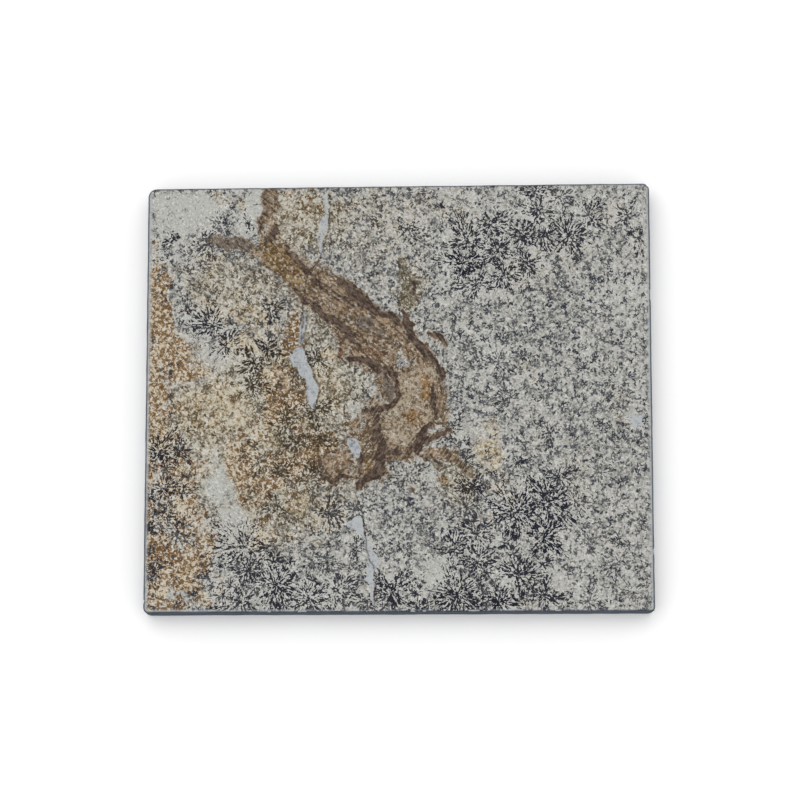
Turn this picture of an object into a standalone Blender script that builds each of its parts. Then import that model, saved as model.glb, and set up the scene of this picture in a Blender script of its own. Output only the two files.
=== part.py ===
"""Fossil fish in a small sawn slab of dendritic limestone.

The slab lies flat on z = 0 with the fish in its upper face. The origin is the bottom centre of
the slab. The tail is at the upper left, towards -X and +Y, and the head points to +X and -Y.
Everything is one stone: the skeleton stands a few tenths of a millimetre proud of the face, and
the crack and the flakes that broke out beside it are cut into it.
"""

import math

import bmesh
import bpy
from mathutils import Matrix, Vector

MM = 0.001

# The slab, hand sawn and a little out of square: (x, y, corner radius) anticlockwise in mm.
CORNERS = (
    (-75.0, 62.6, 2.6),
    (-74.9, -64.4, 1.6),
    (75.0, -63.8, 0.8),
    (74.9, 64.4, 2.0),
)
CORNER_STEPS = 5
THICKNESS = 10.0 * MM
ARRIS = 0.7 * MM
FOOT_CHAMFER = 0.25 * MM

# Relief of the fish over the face.
BODY_RISE = 0.32
BONE_RISE = 0.75
FIN_RISE = 0.50
FLANK_WIDTH = 0.6 * MM
RIDGE_SIDES = 3
RIDGE_STEPS = 4
SUNK = 0.35

# Depth of what has broken out of the face.
FLAKE_DEPTH = 0.40
CRACK_DEPTH = 0.30
BREAK_WIDTH = 0.2 * MM
OVERLAP = 0.5 * MM
WELD = 0.001 * MM

STONE_COLOUR = (0.46, 0.44, 0.38, 1.0)
STONE_ROUGHNESS = 0.8


def clear_scene():
    for old in list(bpy.data.objects):
        bpy.data.objects.remove(old, do_unlink=True)


def stone_material():
    stone = bpy.data.materials.new("limestone")
    stone.use_nodes = True
    surface = stone.node_tree.nodes["Principled BSDF"]
    surface.inputs["Base Color"].default_value = STONE_COLOUR
    surface.inputs["Roughness"].default_value = STONE_ROUGHNESS
    surface.inputs["Metallic"].default_value = 0.0
    return stone


def add_object(name, mesh):
    thing = bpy.data.objects.new(name, mesh)
    bpy.context.scene.collection.objects.link(thing)
    return thing


def mesh_from(name, form):
    """Finish a bmesh with its faces outward and return it as a mesh."""
    bmesh.ops.recalc_face_normals(form, faces=form.faces)
    mesh = bpy.data.meshes.new(name)
    form.to_mesh(mesh)
    form.free()
    return mesh


def rounded_outline():
    """The slab's outline, with an arc at each corner."""
    outline = []
    for index, (x, y, radius) in enumerate(CORNERS):
        corner = Vector((x, y))
        before = Vector(CORNERS[index - 1][:2]) - corner
        after = Vector(CORNERS[(index + 1) % len(CORNERS)][:2]) - corner
        before.normalize()
        after.normalize()
        half_angle = before.angle(after) / 2
        centre = corner + (before + after).normalized() * radius / math.sin(half_angle)
        start = corner + before * radius / math.tan(half_angle) - centre
        sweep = math.pi - 2 * half_angle
        for step in range(CORNER_STEPS + 1):
            turn = Matrix.Rotation(sweep * step / CORNER_STEPS, 2)
            outline.append((centre + turn @ start) * MM)
    return outline


def slab_blank():
    """The sawn slab before the fish: rounded upper arris, light chamfer at the foot."""
    form = bmesh.new()
    base = form.faces.new([form.verts.new((p.x, p.y, 0.0)) for p in rounded_outline()])
    top = bmesh.ops.extrude_face_region(form, geom=[base])
    risen = [item for item in top["geom"] if isinstance(item, bmesh.types.BMVert)]
    bmesh.ops.translate(form, verts=risen, vec=(0.0, 0.0, THICKNESS))
    for height, width, segments in ((THICKNESS, ARRIS, 3), (0.0, FOOT_CHAMFER, 1)):
        rim = [e for e in form.edges if all(abs(v.co.z - height) < 1e-6 for v in e.verts)]
        bmesh.ops.bevel(form, geom=rim, offset=width, segments=segments, profile=0.5,
                        affect="EDGES", clamp_overlap=True)
    return add_object("fossil_slab", mesh_from("fossil_slab", form))


def tool(name, mesh):
    """An object that only shapes the slab and isn't a piece of its own."""
    shape = add_object(name, mesh)
    shape.hide_render = True
    shape.display_type = "WIRE"
    return shape


def apply_to(slab, shape, operation):
    step = slab.modifiers.new(shape.name, "BOOLEAN")
    step.operation = operation
    step.solver = "EXACT"
    step.object = shape


def bar(name, path, half_widths, rise, level):
    """A smooth bar along a path: points and half widths in mm, squashed to its rise in mm."""
    curve = bpy.data.curves.new(name, "CURVE")
    curve.dimensions = "3D"
    curve.resolution_u = RIDGE_STEPS
    curve.bevel_depth = MM
    curve.bevel_resolution = RIDGE_SIDES
    curve.use_fill_caps = True
    spline = curve.splines.new("BEZIER")
    spline.bezier_points.add(len(path) - 1)
    for point, (x, y), half_width in zip(spline.bezier_points, path, half_widths):
        point.co = (x * MM, y * MM, 0.0)
        point.handle_left_type = "AUTO"
        point.handle_right_type = "AUTO"
        point.radius = half_width
    rail = add_object(name + "_rail", curve)
    view = bpy.context.evaluated_depsgraph_get()
    form = bmesh.new()
    form.from_mesh(rail.evaluated_get(view).to_mesh())
    bpy.data.objects.remove(rail, do_unlink=True)
    bmesh.ops.remove_doubles(form, verts=form.verts, dist=WELD)
    squash = Matrix.Diagonal((1.0, 1.0, rise / max(half_widths), 1.0))
    lift = Matrix.Translation((0.0, 0.0, level))
    bmesh.ops.transform(form, matrix=lift @ squash, verts=form.verts)
    return tool(name, mesh_from(name, form))


def ridge(slab, name, path, half_widths, rise=BONE_RISE):
    """A bone or fin ray that stands on the face with sloping sides."""
    centre = THICKNESS - rise * SUNK * MM
    apply_to(slab, bar(name, path, half_widths, rise * (1 + SUNK), centre), "UNION")


def groove(slab, name, path, half_width, depth=CRACK_DEPTH):
    """An open crack along the face."""
    half_widths = [half_width] * len(path)
    apply_to(slab, bar(name, path, half_widths, depth, THICKNESS), "DIFFERENCE")


def pan(name, outline, outer_level, inner_level, slope_width):
    """A closed low form: straight sides up or down to the face, then sloping sides."""
    form = bmesh.new()
    foot = form.faces.new([form.verts.new((x * MM, y * MM, outer_level)) for x, y in outline])
    bmesh.ops.recalc_face_normals(form, faces=form.faces)
    raised = bmesh.ops.extrude_face_region(form, geom=[foot])
    lid = [item for item in raised["geom"] if isinstance(item, bmesh.types.BMFace)]
    bmesh.ops.translate(form, verts=lid[0].verts[:], vec=(0.0, 0.0, THICKNESS - outer_level))
    bmesh.ops.inset_region(form, faces=lid, thickness=slope_width, use_even_offset=True)
    bmesh.ops.translate(form, verts=lid[0].verts[:], vec=(0.0, 0.0, inner_level - THICKNESS))
    return tool(name, mesh_from(name, form))


def mound(slab, name, outline, rise=BODY_RISE):
    """A low flat-topped rise: its outline in mm, and its sides sloping in to the top."""
    shape = pan(name, outline, THICKNESS - OVERLAP, THICKNESS + rise * MM, FLANK_WIDTH)
    apply_to(slab, shape, "UNION")


def hollow(slab, name, outline, depth=FLAKE_DEPTH):
    """A place where a flake broke out: its outline in mm, and its steep broken sides."""
    above = THICKNESS + OVERLAP + BONE_RISE * MM
    shape = pan(name, outline, above, THICKNESS - depth * MM, BREAK_WIDTH)
    apply_to(slab, shape, "DIFFERENCE")


def add_body(slab):
    """The low swelling of the trunk and the head, on which the bones lie."""
    mound(slab, "trunk", (
        (-39.5, 39.2), (-35.9, 36.2), (-31.4, 31.3), (-28.1, 27.4), (-23.9, 23.7),
        (-20.6, 19.5), (-17.6, 14.4), (-12.8, 11.0), (-8.6, 8.9), (-3.0, 7.1),
        (3.0, 6.0), (10.0, 6.5), (11.4, 9.5), (8.9, 12.9), (6.6, 16.5), (3.6, 19.8),
        (0.6, 22.5), (-4.2, 25.6), (-8.7, 28.0), (-14.3, 32.5), (-18.5, 36.2),
        (-26.3, 40.5), (-32.3, 45.0), (-37.4, 45.3), (-41.3, 42.3),
    ))
    mound(slab, "head", (
        (-3.5, 9.0), (-2.4, 4.6), (-0.9, 1.1), (-1.8, -2.5), (-4.7, -5.8), (-8.3, -8.8),
        (-9.8, -13.3), (-11.8, -19.3), (-12.9, -24.6), (-11.8, -27.6), (-7.7, -26.4),
        (-3.6, -21.1), (0.0, -19.0), (4.4, -17.8), (8.4, -15.4), (11.6, -12.1), (15.7, -8.5),
        (13.9, -4.9), (14.9, 0.2), (13.1, 7.1), (9.0, 12.6),
    ))


def add_tail(slab):
    """Two lobes of the forked tail, which meet at its root."""
    ridge(slab, "tail_upper_lobe",
          ((-38.2, 61.2), (-39.3, 56.5), (-39.0, 51.5), (-37.1, 46.4), (-34.4, 40.8)),
          (1.2, 2.2, 3.0, 3.0, 2.0), FIN_RISE)
    ridge(slab, "tail_lower_lobe",
          ((-57.0, 47.7), (-51.5, 46.4), (-46.1, 45.1), (-40.7, 42.6), (-35.4, 38.6)),
          (0.5, 1.5, 2.0, 2.1, 1.5), FIN_RISE)
    ridge(slab, "tail_root", ((-38.6, 43.4), (-33.8, 39.8), (-28.8, 35.6)), (2.2, 2.8, 1.6), BONE_RISE)


def add_trunk(slab):
    """The back, the backbone and the belly, with the anal rays and the fin on the back."""
    ridge(slab, "back_rear", ((-33.6, 44.8), (-28.6, 42.0), (-22.6, 37.8)), (0.7, 1.3, 0.8))
    ridge(slab, "back",
          ((-19.9, 35.4), (-14.6, 31.8), (-8.7, 27.0), (-3.6, 24.0), (1.0, 20.6), (4.6, 17.2),
           (7.4, 13.2), (10.2, 9.4)),
          (0.7, 1.6, 1.8, 1.5, 1.5, 1.3, 1.5, 0.8))
    ridge(slab, "backbone", ((-27.4, 34.2), (-22.6, 31.2), (-17.9, 28.6), (-13.4, 26.2)),
          (0.6, 0.9, 0.9, 0.4), BONE_RISE)
    ridge(slab, "belly_rear", ((-35.6, 36.6), (-31.6, 32.4), (-27.6, 29.4)), (0.5, 0.8, 0.6))
    ridge(slab, "belly",
          ((-27.4, 28.4), (-23.3, 25.2), (-20.0, 21.8), (-15.6, 18.6), (-11.6, 15.0)),
          (0.7, 1.2, 1.6, 1.3, 0.5))
    ridge(slab, "breast",
          ((-18.2, 15.0), (-12.8, 12.0), (-8.4, 9.6), (-4.4, 6.6), (-2.0, 2.4), (-2.6, -1.6)),
          (0.7, 1.4, 1.7, 2.2, 1.9, 0.7))
    ridge(slab, "shoulder_ray", ((-16.4, 20.2), (-13.2, 22.4), (-10.2, 24.6)), (0.3, 0.5, 0.3), FIN_RISE)
    ridge(slab, "fin_on_back",
          ((0.6, 40.6), (3.0, 35.4), (3.2, 31.0), (2.2, 26.0), (2.0, 21.6)),
          (0.6, 2.0, 2.2, 1.4, 1.0), FIN_RISE)


def add_head(slab):
    """The skull plate, set back between the cheek, the jaws and the gill bones."""
    hollow(slab, "skull_plate", (
        (0.6, 6.2), (3.6, 7.9), (10.7, 9.0), (11.9, 5.3), (9.8, 2.9), (9.2, -4.9), (10.2, -6.9),
        (6.5, -10.6), (1.8, -15.8), (-2.4, -13.6), (-5.6, -11.2), (-5.0, -7.3), (-0.8, -2.0),
        (0.8, 1.4),
    ), 0.10)
    ridge(slab, "cheek", ((12.2, 8.2), (13.0, 4.6), (12.0, 0.6), (12.4, -2.8), (11.4, -6.0)),
          (0.4, 0.9, 1.1, 1.7, 0.6))
    ridge(slab, "upper_jaw", ((14.0, -4.8), (10.8, -7.4), (7.8, -10.4)), (0.5, 1.0, 0.6))
    ridge(slab, "lower_jaw", ((15.9, -7.9), (10.9, -11.6), (6.7, -14.6), (2.6, -17.2)),
          (0.4, 1.0, 1.1, 0.7))
    ridge(slab, "gill_bone", ((-10.8, -5.0), (-7.8, -5.4), (-4.4, -4.6), (-1.6, -2.2)),
          (0.5, 1.0, 1.2, 0.5))
    ridge(slab, "throat", ((-9.2, -8.2), (-7.4, -12.4), (-4.6, -16.2), (-0.4, -18.0)),
          (0.6, 1.6, 1.7, 0.6))


def add_lower_fins(slab):
    """The two fins below the throat."""
    ridge(slab, "breast_fin", ((-6.0, -15.6), (-7.2, -20.0), (-9.4, -24.0), (-12.2, -27.2)),
          (1.4, 2.2, 2.0, 0.9), FIN_RISE)
    mound(slab, "belly_fin", (
        (-24.3, -24.3), (-22.2, -20.8), (-20.1, -18.4), (-16.3, -16.3), (-14.2, -18.7),
        (-13.2, -22.2), (-14.4, -24.4), (-17.7, -25.3), (-21.0, -25.3),
    ))
    ridge(slab, "belly_fin_edge", ((-24.0, -24.0), (-19.2, -25.0), (-14.2, -24.0)),
          (0.4, 0.8, 0.4))
    ridge(slab, "chin_ray", ((7.3, -15.6), (11.3, -19.2), (14.0, -22.8)), (0.4, 0.9, 0.4), FIN_RISE)
    ridge(slab, "snout_ray", ((12.2, -14.4), (16.2, -17.4), (19.6, -21.2), (22.6, -26.0)),
          (0.4, 1.0, 1.0, 0.4), FIN_RISE)


def add_crack(slab):
    """The hairline crack down the face, and the flakes that broke out along it."""
    groove(slab, "crack_upper",
           ((-20.8, 61.0), (-21.0, 50.8), (-23.9, 40.8), (-27.2, 36.5), (-28.4, 28.0),
            (-28.9, 15.3)), 0.22)
    groove(slab, "crack_middle",
           ((-28.6, 13.5), (-26.2, 8.3), (-24.4, 0.8), (-25.6, -3.7), (-19.3, -10.3),
            (-13.9, -13.3)), 0.22)
    groove(slab, "crack_lower",
           ((-12.6, -21.0), (-12.4, -30.3), (-10.3, -36.2), (-9.4, -46.5), (-7.1, -52.5),
            (-7.2, -62.6)), 0.22)
    hollow(slab, "flake_upper", (
        (-23.4, 61.0), (-21.4, 60.8), (-20.7, 52.7), (-23.0, 46.8), (-24.9, 44.1),
        (-24.4, 51.8), (-22.6, 56.0),
    ), 0.15)
    hollow(slab, "flake_narrow", (
        (-27.6, 24.6), (-28.0, 20.4), (-28.4, 15.2), (-29.8, 15.2), (-29.5, 20.4), (-28.8, 24.6),
    ), 0.25)
    hollow(slab, "flake_large", (
        (-33.3, 11.9), (-31.6, 13.5), (-28.9, 14.4), (-28.0, 11.6), (-26.2, 8.6), (-25.9, 5.9),
        (-24.4, 1.4), (-25.8, -3.7), (-27.0, -1.3), (-27.6, 3.8), (-29.1, 6.2), (-30.6, 8.0),
    ))
    hollow(slab, "flake_small", (
        (-16.0, -13.6), (-13.6, -12.4), (-11.9, -14.2), (-11.0, -16.6), (-12.4, -19.0),
        (-14.2, -17.2), (-16.0, -15.1),
    ), 0.30)
    hollow(slab, "flake_lower", (
        (-15.9, -38.0), (-11.8, -35.6), (-10.3, -36.5), (-10.0, -41.3), (-8.0, -45.4),
        (-5.6, -48.1), (-5.6, -49.8), (-7.1, -52.5), (-7.4, -56.9), (-6.6, -62.6),
        (-7.9, -62.6), (-8.8, -56.6), (-10.0, -54.5), (-9.0, -50.1), (-9.4, -47.5),
        (-10.6, -42.7), (-12.4, -39.8), (-14.7, -39.5),
    ), 0.20)


def nick(slab, name, place, size):
    """A small shell-shaped chip knocked off an edge: centre and radii in mm."""
    form = bmesh.new()
    bmesh.ops.create_icosphere(form, subdivisions=2, radius=1.0)
    scale = Matrix.Diagonal((size[0] * MM, size[1] * MM, size[2] * MM, 1.0))
    shift = Matrix.Translation(Vector(place) * MM)
    bmesh.ops.transform(form, matrix=shift @ scale, verts=form.verts)
    apply_to(slab, tool(name, mesh_from(name, form)), "DIFFERENCE")


def add_edge_nicks(slab):
    """Chips along the front edge and at the far right corner."""
    nick(slab, "nick_front_left", (-28.3, -64.6, 10.1), (1.9, 1.2, 1.7))
    nick(slab, "nick_front_middle", (21.8, -64.4, 10.1), (2.6, 1.2, 1.5))
    nick(slab, "nick_front_right", (46.6, -64.3, 10.2), (1.6, 1.1, 1.4))
    nick(slab, "nick_far_corner", (75.0, 64.5, 9.8), (2.0, 1.9, 2.1))
    nick(slab, "nick_right", (75.3, 30.5, 10.2), (1.1, 2.4, 1.5))


def main():
    clear_scene()
    slab = slab_blank()
    slab.data.materials.append(stone_material())
    add_body(slab)
    add_tail(slab)
    add_trunk(slab)
    add_lower_fins(slab)
    add_head(slab)
    add_crack(slab)
    add_edge_nicks(slab)


main()
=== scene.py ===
"""A fossil fish in a sawn limestone slab: its carved surface, its markings and a plain studio.

The marks on the face are placed in millimetres from the middle of the slab: x to the right and
y away from the front edge. The tail is at the upper left and the head at the lower right.
"""

import math
from collections import namedtuple

import bpy
import numpy as np
from bpy.props import FloatProperty, FloatVectorProperty, IntProperty, PointerProperty
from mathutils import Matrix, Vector


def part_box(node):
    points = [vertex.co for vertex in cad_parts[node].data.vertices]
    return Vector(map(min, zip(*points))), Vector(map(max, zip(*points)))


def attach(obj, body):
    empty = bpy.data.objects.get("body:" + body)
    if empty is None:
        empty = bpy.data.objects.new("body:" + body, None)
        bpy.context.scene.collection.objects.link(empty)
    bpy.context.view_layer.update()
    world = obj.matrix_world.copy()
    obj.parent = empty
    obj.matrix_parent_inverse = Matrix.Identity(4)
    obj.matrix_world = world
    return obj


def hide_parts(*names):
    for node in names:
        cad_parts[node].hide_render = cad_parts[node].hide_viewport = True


bl_info = {
    "name": "Fossil fish slab",
    "version": (1, 0, 0),
    "blender": (4, 5, 0),
    "location": "3D View > Sidebar > Fossil",
    "description": "Makes a limestone slab with a fossil fish, rust stains and dendrites",
    "category": "Add Mesh",
}

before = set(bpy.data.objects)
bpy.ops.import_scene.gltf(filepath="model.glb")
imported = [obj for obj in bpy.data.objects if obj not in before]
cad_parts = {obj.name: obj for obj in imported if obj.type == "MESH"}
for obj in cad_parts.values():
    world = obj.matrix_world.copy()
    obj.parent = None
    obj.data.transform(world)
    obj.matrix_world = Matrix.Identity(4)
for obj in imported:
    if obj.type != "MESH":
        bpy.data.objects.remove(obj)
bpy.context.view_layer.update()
SLAB_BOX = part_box("fossil_slab")

MM = 0.001
THICKNESS = 10.0
# How far the highest bone stays under the top of the solid.
CLEARANCE = 0.02
HIGHEST = SLAB_BOX[1].z / MM - CLEARANCE

# The slab's corners, anticlockwise from the far left: (x, y, corner radius).
CORNERS = (
    (-75.0, 62.6, 2.6),
    (-74.9, -64.4, 1.6),
    (75.0, -63.8, 0.8),
    (74.9, 64.4, 2.0),
)
HALF_WIDTH = 75.0
HALF_DEPTH = 64.0
ARRIS = 0.7
FOOT_CHAMFER = 0.25
ARRIS_RINGS = 3
WALL_RINGS = 5
SMOOTH_UP_TO = math.radians(50)

# The face's points: how far they are moved at random, in spacings, and how many rows from the
# edge the relief takes to reach its full height.
JITTER = 0.30
FADING_ROWS = 3.0

# Chips out of the upper edges: (x, y, z, half length, reach).
NICKS = (
    (-28.3, -64.6, 10.1, 1.9, 1.2),
    (21.8, -64.4, 10.1, 2.6, 1.2),
    (46.6, -64.3, 10.2, 1.6, 1.1),
    (75.0, 64.5, 9.8, 1.4, 0.8),
    (75.3, 30.5, 10.2, 2.4, 1.1),
)
# Half the height of a chip, how deep the chips and the crumbled edges are, and how uneven the
# sawn sides are.
NICK_HEIGHT = 1.5
NICK_DEPTH = 0.6
CRUMB_DEPTH = 0.4
UNEVENNESS = 0.10

# A cloud of random values repeats after this many cells. The clouds of the face's unevenness
# and of its patchy growth, which are laid over each other: (weight, cell, seed).
CLOUD_CELLS = 97
SWELLS = ((1.0, 9.0, 50), (0.5, 2.6, 51), (0.25, 1.1, 52))
PATCHY = ((0.6, 6.0, 20), (0.4, 2.5, 21))
# The clouds that push the fish, the breaks, the specks and the stains about: (cell, reach, seed).
FISH_DRIFTS = ((2.4, 0.7, 40), (0.9, 0.35, 42))
BREAK_DRIFTS = ((1.3, 0.3, 60),)
SPECK_DRIFTS = ((2.2, 0.9, 14),)
STAIN_DRIFTS = ((7.0, 2.6, 10), (2.2, 0.9, 12))
RIM_SEED = 30
WEAR_SEED = 70

# Dendrites that are scattered besides the placed ones: how many places are tried, how likely
# one grows where growth is thickest, and the least and the added reach and strength.
SPOTS = 900
LIKELIEST = 0.9
LEAST_REACH, MORE_REACH = 1.4, 2.6
LEAST_STRENGTH, MORE_STRENGTH = 0.55, 0.35
# How far past its reach a placed dendrite keeps the stone clearer.
HALO = 0.5
# The smallest dendrites: (spacing, reach), in millimetres.
TUFT_SIZES = ((2.6, 1.2), (1.3, 0.6))

# The studio in metres, but the camera's sensor and the place that it aims at in millimetres.
FLOOR_SIZE = 6.0
FLOOR_DROP = 0.02 * MM
FLOOR_SHADE = (0.965, 0.965, 0.965, 1.0)
KEY_PLACE = (-0.20, 0.25, 1.6)
KEY_SIZE = 1.5
SENSOR_WIDTH = 36.0
NEAREST_SEEN = 0.01
AIM = (0.3, -1.3, THICKNESS)

# A soft-edged patch is full up to its core and ends at its edge, both in half sizes.
PATCH_CORE, PATCH_EDGE = 0.35, 1.55
# More than any distance on the slab, and less than any that counts.
FAR = 1e9
HAIR = 1e-6

# A bone: how far it stands up (as a share of the bones' rise), how dark it is, how golden it
# is, and its path of (x, y, half width).
Bone = namedtuple("Bone", "rise dark gold path")
BONES = {
    "tail_upper_edge": Bone(0.60, 0.55, 0.0, (
        (-39.6, 62.6, 1.0), (-39.8, 58.6, 1.0), (-39.8, 55.4, 0.9), (-41.2, 52.4, 0.7),
        (-41.8, 49.6, 0.5))),
    "tail_upper_tip": Bone(0.50, 0.40, 0.0, (
        (-38.0, 61.4, 1.3), (-37.8, 58.4, 1.3), (-37.0, 56.0, 0.7))),
    "tail_upper_inner": Bone(0.50, 0.85, 0.0, (
        (-36.8, 51.2, 0.6), (-37.6, 49.2, 1.3), (-38.6, 46.4, 1.2))),
    "tail_lower_edge": Bone(0.65, 0.40, 0.0, (
        (-55.4, 47.6, 0.6), (-52.0, 46.6, 1.3), (-48.0, 46.0, 1.4), (-44.2, 45.4, 1.2),
        (-41.2, 44.0, 0.9))),
    "tail_root": Bone(1.0, 0.15, 1.0, (
        (-39.4, 46.6, 1.6), (-37.6, 43.6, 2.8), (-34.9, 40.6, 3.2), (-32.0, 37.4, 2.8),
        (-29.6, 34.6, 1.6))),
    "tail_root_edge": Bone(0.70, 0.75, 0.0, (
        (-33.4, 45.4, 0.5), (-32.4, 43.0, 0.8), (-30.8, 40.8, 0.8))),
    "back_rear": Bone(1.0, 0.80, 0.2, (
        (-30.4, 41.0, 0.8), (-28.6, 38.8, 1.2), (-26.6, 36.6, 0.9))),
    "back": Bone(1.0, 1.0, 0.0, (
        (-18.2, 35.2, 0.6), (-16.4, 33.4, 1.3), (-13.4, 30.6, 1.7), (-10.8, 28.4, 1.8),
        (-8.2, 26.0, 1.3), (-5.2, 24.7, 0.9), (-2.4, 23.6, 1.0), (0.4, 21.6, 0.7))),
    "shoulder": Bone(1.0, 1.0, 0.0, (
        (1.0, 26.0, 0.7), (2.2, 22.8, 1.1), (3.2, 19.6, 1.2), (5.2, 16.2, 1.3), (7.6, 13.2, 1.4),
        (10.6, 10.4, 0.9))),
    "backbone": Bone(1.0, 0.62, 0.0, (
        (-25.2, 34.6, 0.7), (-22.6, 32.6, 1.2), (-19.8, 30.6, 0.8), (-17.0, 29.2, 0.9),
        (-14.4, 27.6, 0.9), (-12.4, 26.6, 0.4))),
    "belly_rear": Bone(1.0, 0.80, 0.0, (
        (-31.4, 32.2, 0.5), (-29.2, 30.2, 0.8), (-27.0, 28.4, 1.0), (-24.6, 27.0, 0.9),
        (-23.0, 26.0, 0.5))),
    "belly": Bone(1.0, 0.95, 0.0, (
        (-25.4, 26.0, 0.9), (-22.0, 24.0, 1.5), (-18.8, 21.8, 1.6), (-16.0, 19.4, 1.4),
        (-13.8, 17.4, 1.2), (-12.0, 15.2, 0.7))),
    "breast": Bone(1.0, 0.95, 0.0, (
        (-14.6, 11.4, 0.7), (-11.6, 10.8, 1.2), (-8.8, 9.8, 1.2), (-6.2, 8.2, 1.3), (-4.4, 6.6, 1.0))),
    "breast_edge": Bone(1.0, 0.90, 0.0, (
        (-4.2, 8.4, 0.8), (-1.6, 6.6, 1.0), (-0.3, 3.6, 0.8), (-0.1, 0.4, 0.9), (-1.4, -2.0, 0.9),
        (-3.6, -3.6, 0.7))),
    "shoulder_ray": Bone(0.65, 0.10, 0.4, (
        (-14.6, 23.4, 0.3), (-11.8, 25.2, 0.6), (-8.8, 24.6, 0.3))),
    "fin_on_back": Bone(0.65, 0.0, 0.0, (
        (0.6, 40.6, 0.6), (3.0, 35.4, 2.0), (3.2, 31.0, 2.2), (2.2, 26.0, 1.4))),
    "fin_ray": Bone(0.50, 0.55, 0.0, (
        (3.6, 34.4, 0.4), (5.0, 30.8, 0.6), (4.8, 28.2, 0.7), (3.6, 26.4, 0.4))),
    "curl": Bone(0.30, 0.95, 0.0, (
        (8.4, 19.0, 0.6), (10.8, 18.6, 0.9), (12.8, 17.0, 1.0), (14.0, 14.8, 0.6))),
    "cheek": Bone(1.0, 0.90, 0.0, (
        (11.2, 9.4, 0.5), (12.6, 6.6, 0.9), (11.9, 4.0, 0.6))),
    "cheek_line": Bone(0.80, 0.95, 0.0, (
        (10.0, 3.6, 0.5), (10.1, 0.4, 0.7), (10.4, -2.8, 0.8), (10.8, -6.0, 0.7))),
    "upper_jaw": Bone(1.0, 0.95, 0.0, (
        (9.6, -8.0, 0.6), (8.2, -9.8, 1.0), (6.6, -11.4, 0.9), (5.6, -13.8, 0.9))),
    "lower_jaw": Bone(1.0, 0.95, 0.0, (
        (15.8, -10.2, 0.3), (12.4, -11.4, 0.5), (9.4, -12.4, 0.8), (6.4, -14.2, 1.3),
        (3.4, -16.6, 0.8))),
    "gill_bone": Bone(1.0, 0.90, 0.0, (
        (-11.4, -5.0, 0.5), (-9.0, -4.8, 0.8), (-6.4, -4.8, 0.9), (-4.0, -4.2, 0.8))),
    "throat": Bone(1.0, 0.80, 0.0, (
        (-6.8, -6.6, 0.9), (-6.8, -10.2, 1.6), (-6.4, -13.4, 2.0), (-4.0, -15.8, 1.8),
        (-1.2, -17.0, 1.0), (1.6, -17.4, 0.5))),
    "breast_fin": Bone(0.65, 0.85, 0.1, (
        (-5.0, -16.0, 1.4), (-5.6, -19.6, 1.9), (-7.2, -23.2, 1.7), (-10.4, -25.4, 1.6),
        (-12.2, -27.4, 0.7))),
    "breast_fin_ray": Bone(0.50, 0.70, 0.1, (
        (-11.6, -16.6, 0.5), (-11.2, -20.4, 0.8), (-11.4, -23.8, 0.8))),
    "belly_fin_edge": Bone(1.0, 1.0, 0.0, (
        (-24.2, -23.6, 0.5), (-21.2, -24.6, 0.8), (-18.0, -24.8, 0.8), (-14.6, -24.0, 0.5))),
    "chin_ray": Bone(0.65, 0.60, 0.1, (
        (5.2, -16.6, 0.5), (9.6, -19.0, 0.8), (13.2, -21.4, 0.4))),
    "snout_ray": Bone(0.65, 0.45, 0.0, (
        (12.6, -15.4, 0.5), (15.4, -17.6, 1.0), (18.6, -20.8, 0.9), (22.0, -25.2, 0.4))),
}

# Outlines of the low swellings under the bones.
TRUNK = (
    (-41.0, 38.6), (-36.4, 35.0), (-32.2, 31.0), (-28.6, 27.2), (-23.9, 23.7), (-20.6, 19.5),
    (-17.6, 14.4), (-12.8, 11.0), (-8.6, 8.9), (-3.0, 7.1), (3.0, 6.0), (10.0, 6.5), (11.4, 9.5),
    (8.9, 12.9), (6.6, 16.5), (3.6, 19.8), (0.6, 22.5), (-4.2, 25.6), (-8.7, 28.0), (-14.3, 32.5),
    (-18.5, 36.2), (-26.3, 40.5), (-31.6, 44.8), (-34.4, 47.6), (-38.6, 48.4), (-41.8, 43.6),
)
HEAD = (
    (-3.5, 9.0), (-2.4, 4.6), (-0.9, 1.1), (-1.8, -2.5), (-4.7, -5.8), (-8.3, -8.8), (-9.8, -13.3),
    (-11.8, -19.3), (-12.9, -24.6), (-11.8, -27.6), (-7.7, -26.4), (-3.6, -21.1), (0.0, -19.0),
    (4.4, -17.8), (8.4, -15.4), (11.6, -12.1), (15.7, -8.5), (13.9, -4.9), (14.9, 0.2), (13.1, 7.1),
    (9.0, 12.6),
)
BELLY_FIN = (
    (-24.3, -24.3), (-22.2, -20.8), (-20.1, -18.4), (-16.3, -16.3), (-14.2, -18.7), (-13.2, -22.2),
    (-14.4, -24.4), (-17.7, -25.3), (-21.0, -25.3),
)
# The pale plate of the head, where the relief is low, and the olive fin on the back.
SKULL_PLATE = (
    (0.6, 6.2), (3.6, 7.9), (10.7, 9.0), (11.9, 5.3), (9.8, 2.9), (9.2, -4.9), (10.2, -6.9),
    (6.5, -10.6), (1.8, -15.8), (-2.4, -13.6), (-5.6, -11.2), (-5.0, -7.3), (-0.8, -2.0), (0.8, 1.4),
)
DORSAL_FIN = (
    (-0.4, 41.6), (3.2, 39.4), (4.8, 35.4), (6.0, 30.4), (4.6, 26.0), (1.2, 25.0), (-0.6, 27.6),
    (-0.2, 33.0), (-1.0, 36.6),
)
# The middle line of the body, from the tail to the breast fin.
SPINE = (
    (-46.0, 52.0), (-36.0, 41.5), (-28.0, 34.5), (-20.0, 28.5), (-12.0, 22.5), (-4.0, 16.0), (2.0, 9.5),
    (4.5, 2.0), (2.5, -6.0), (-2.0, -13.0), (-8.0, -22.0), (-13.0, -30.0),
)

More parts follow.
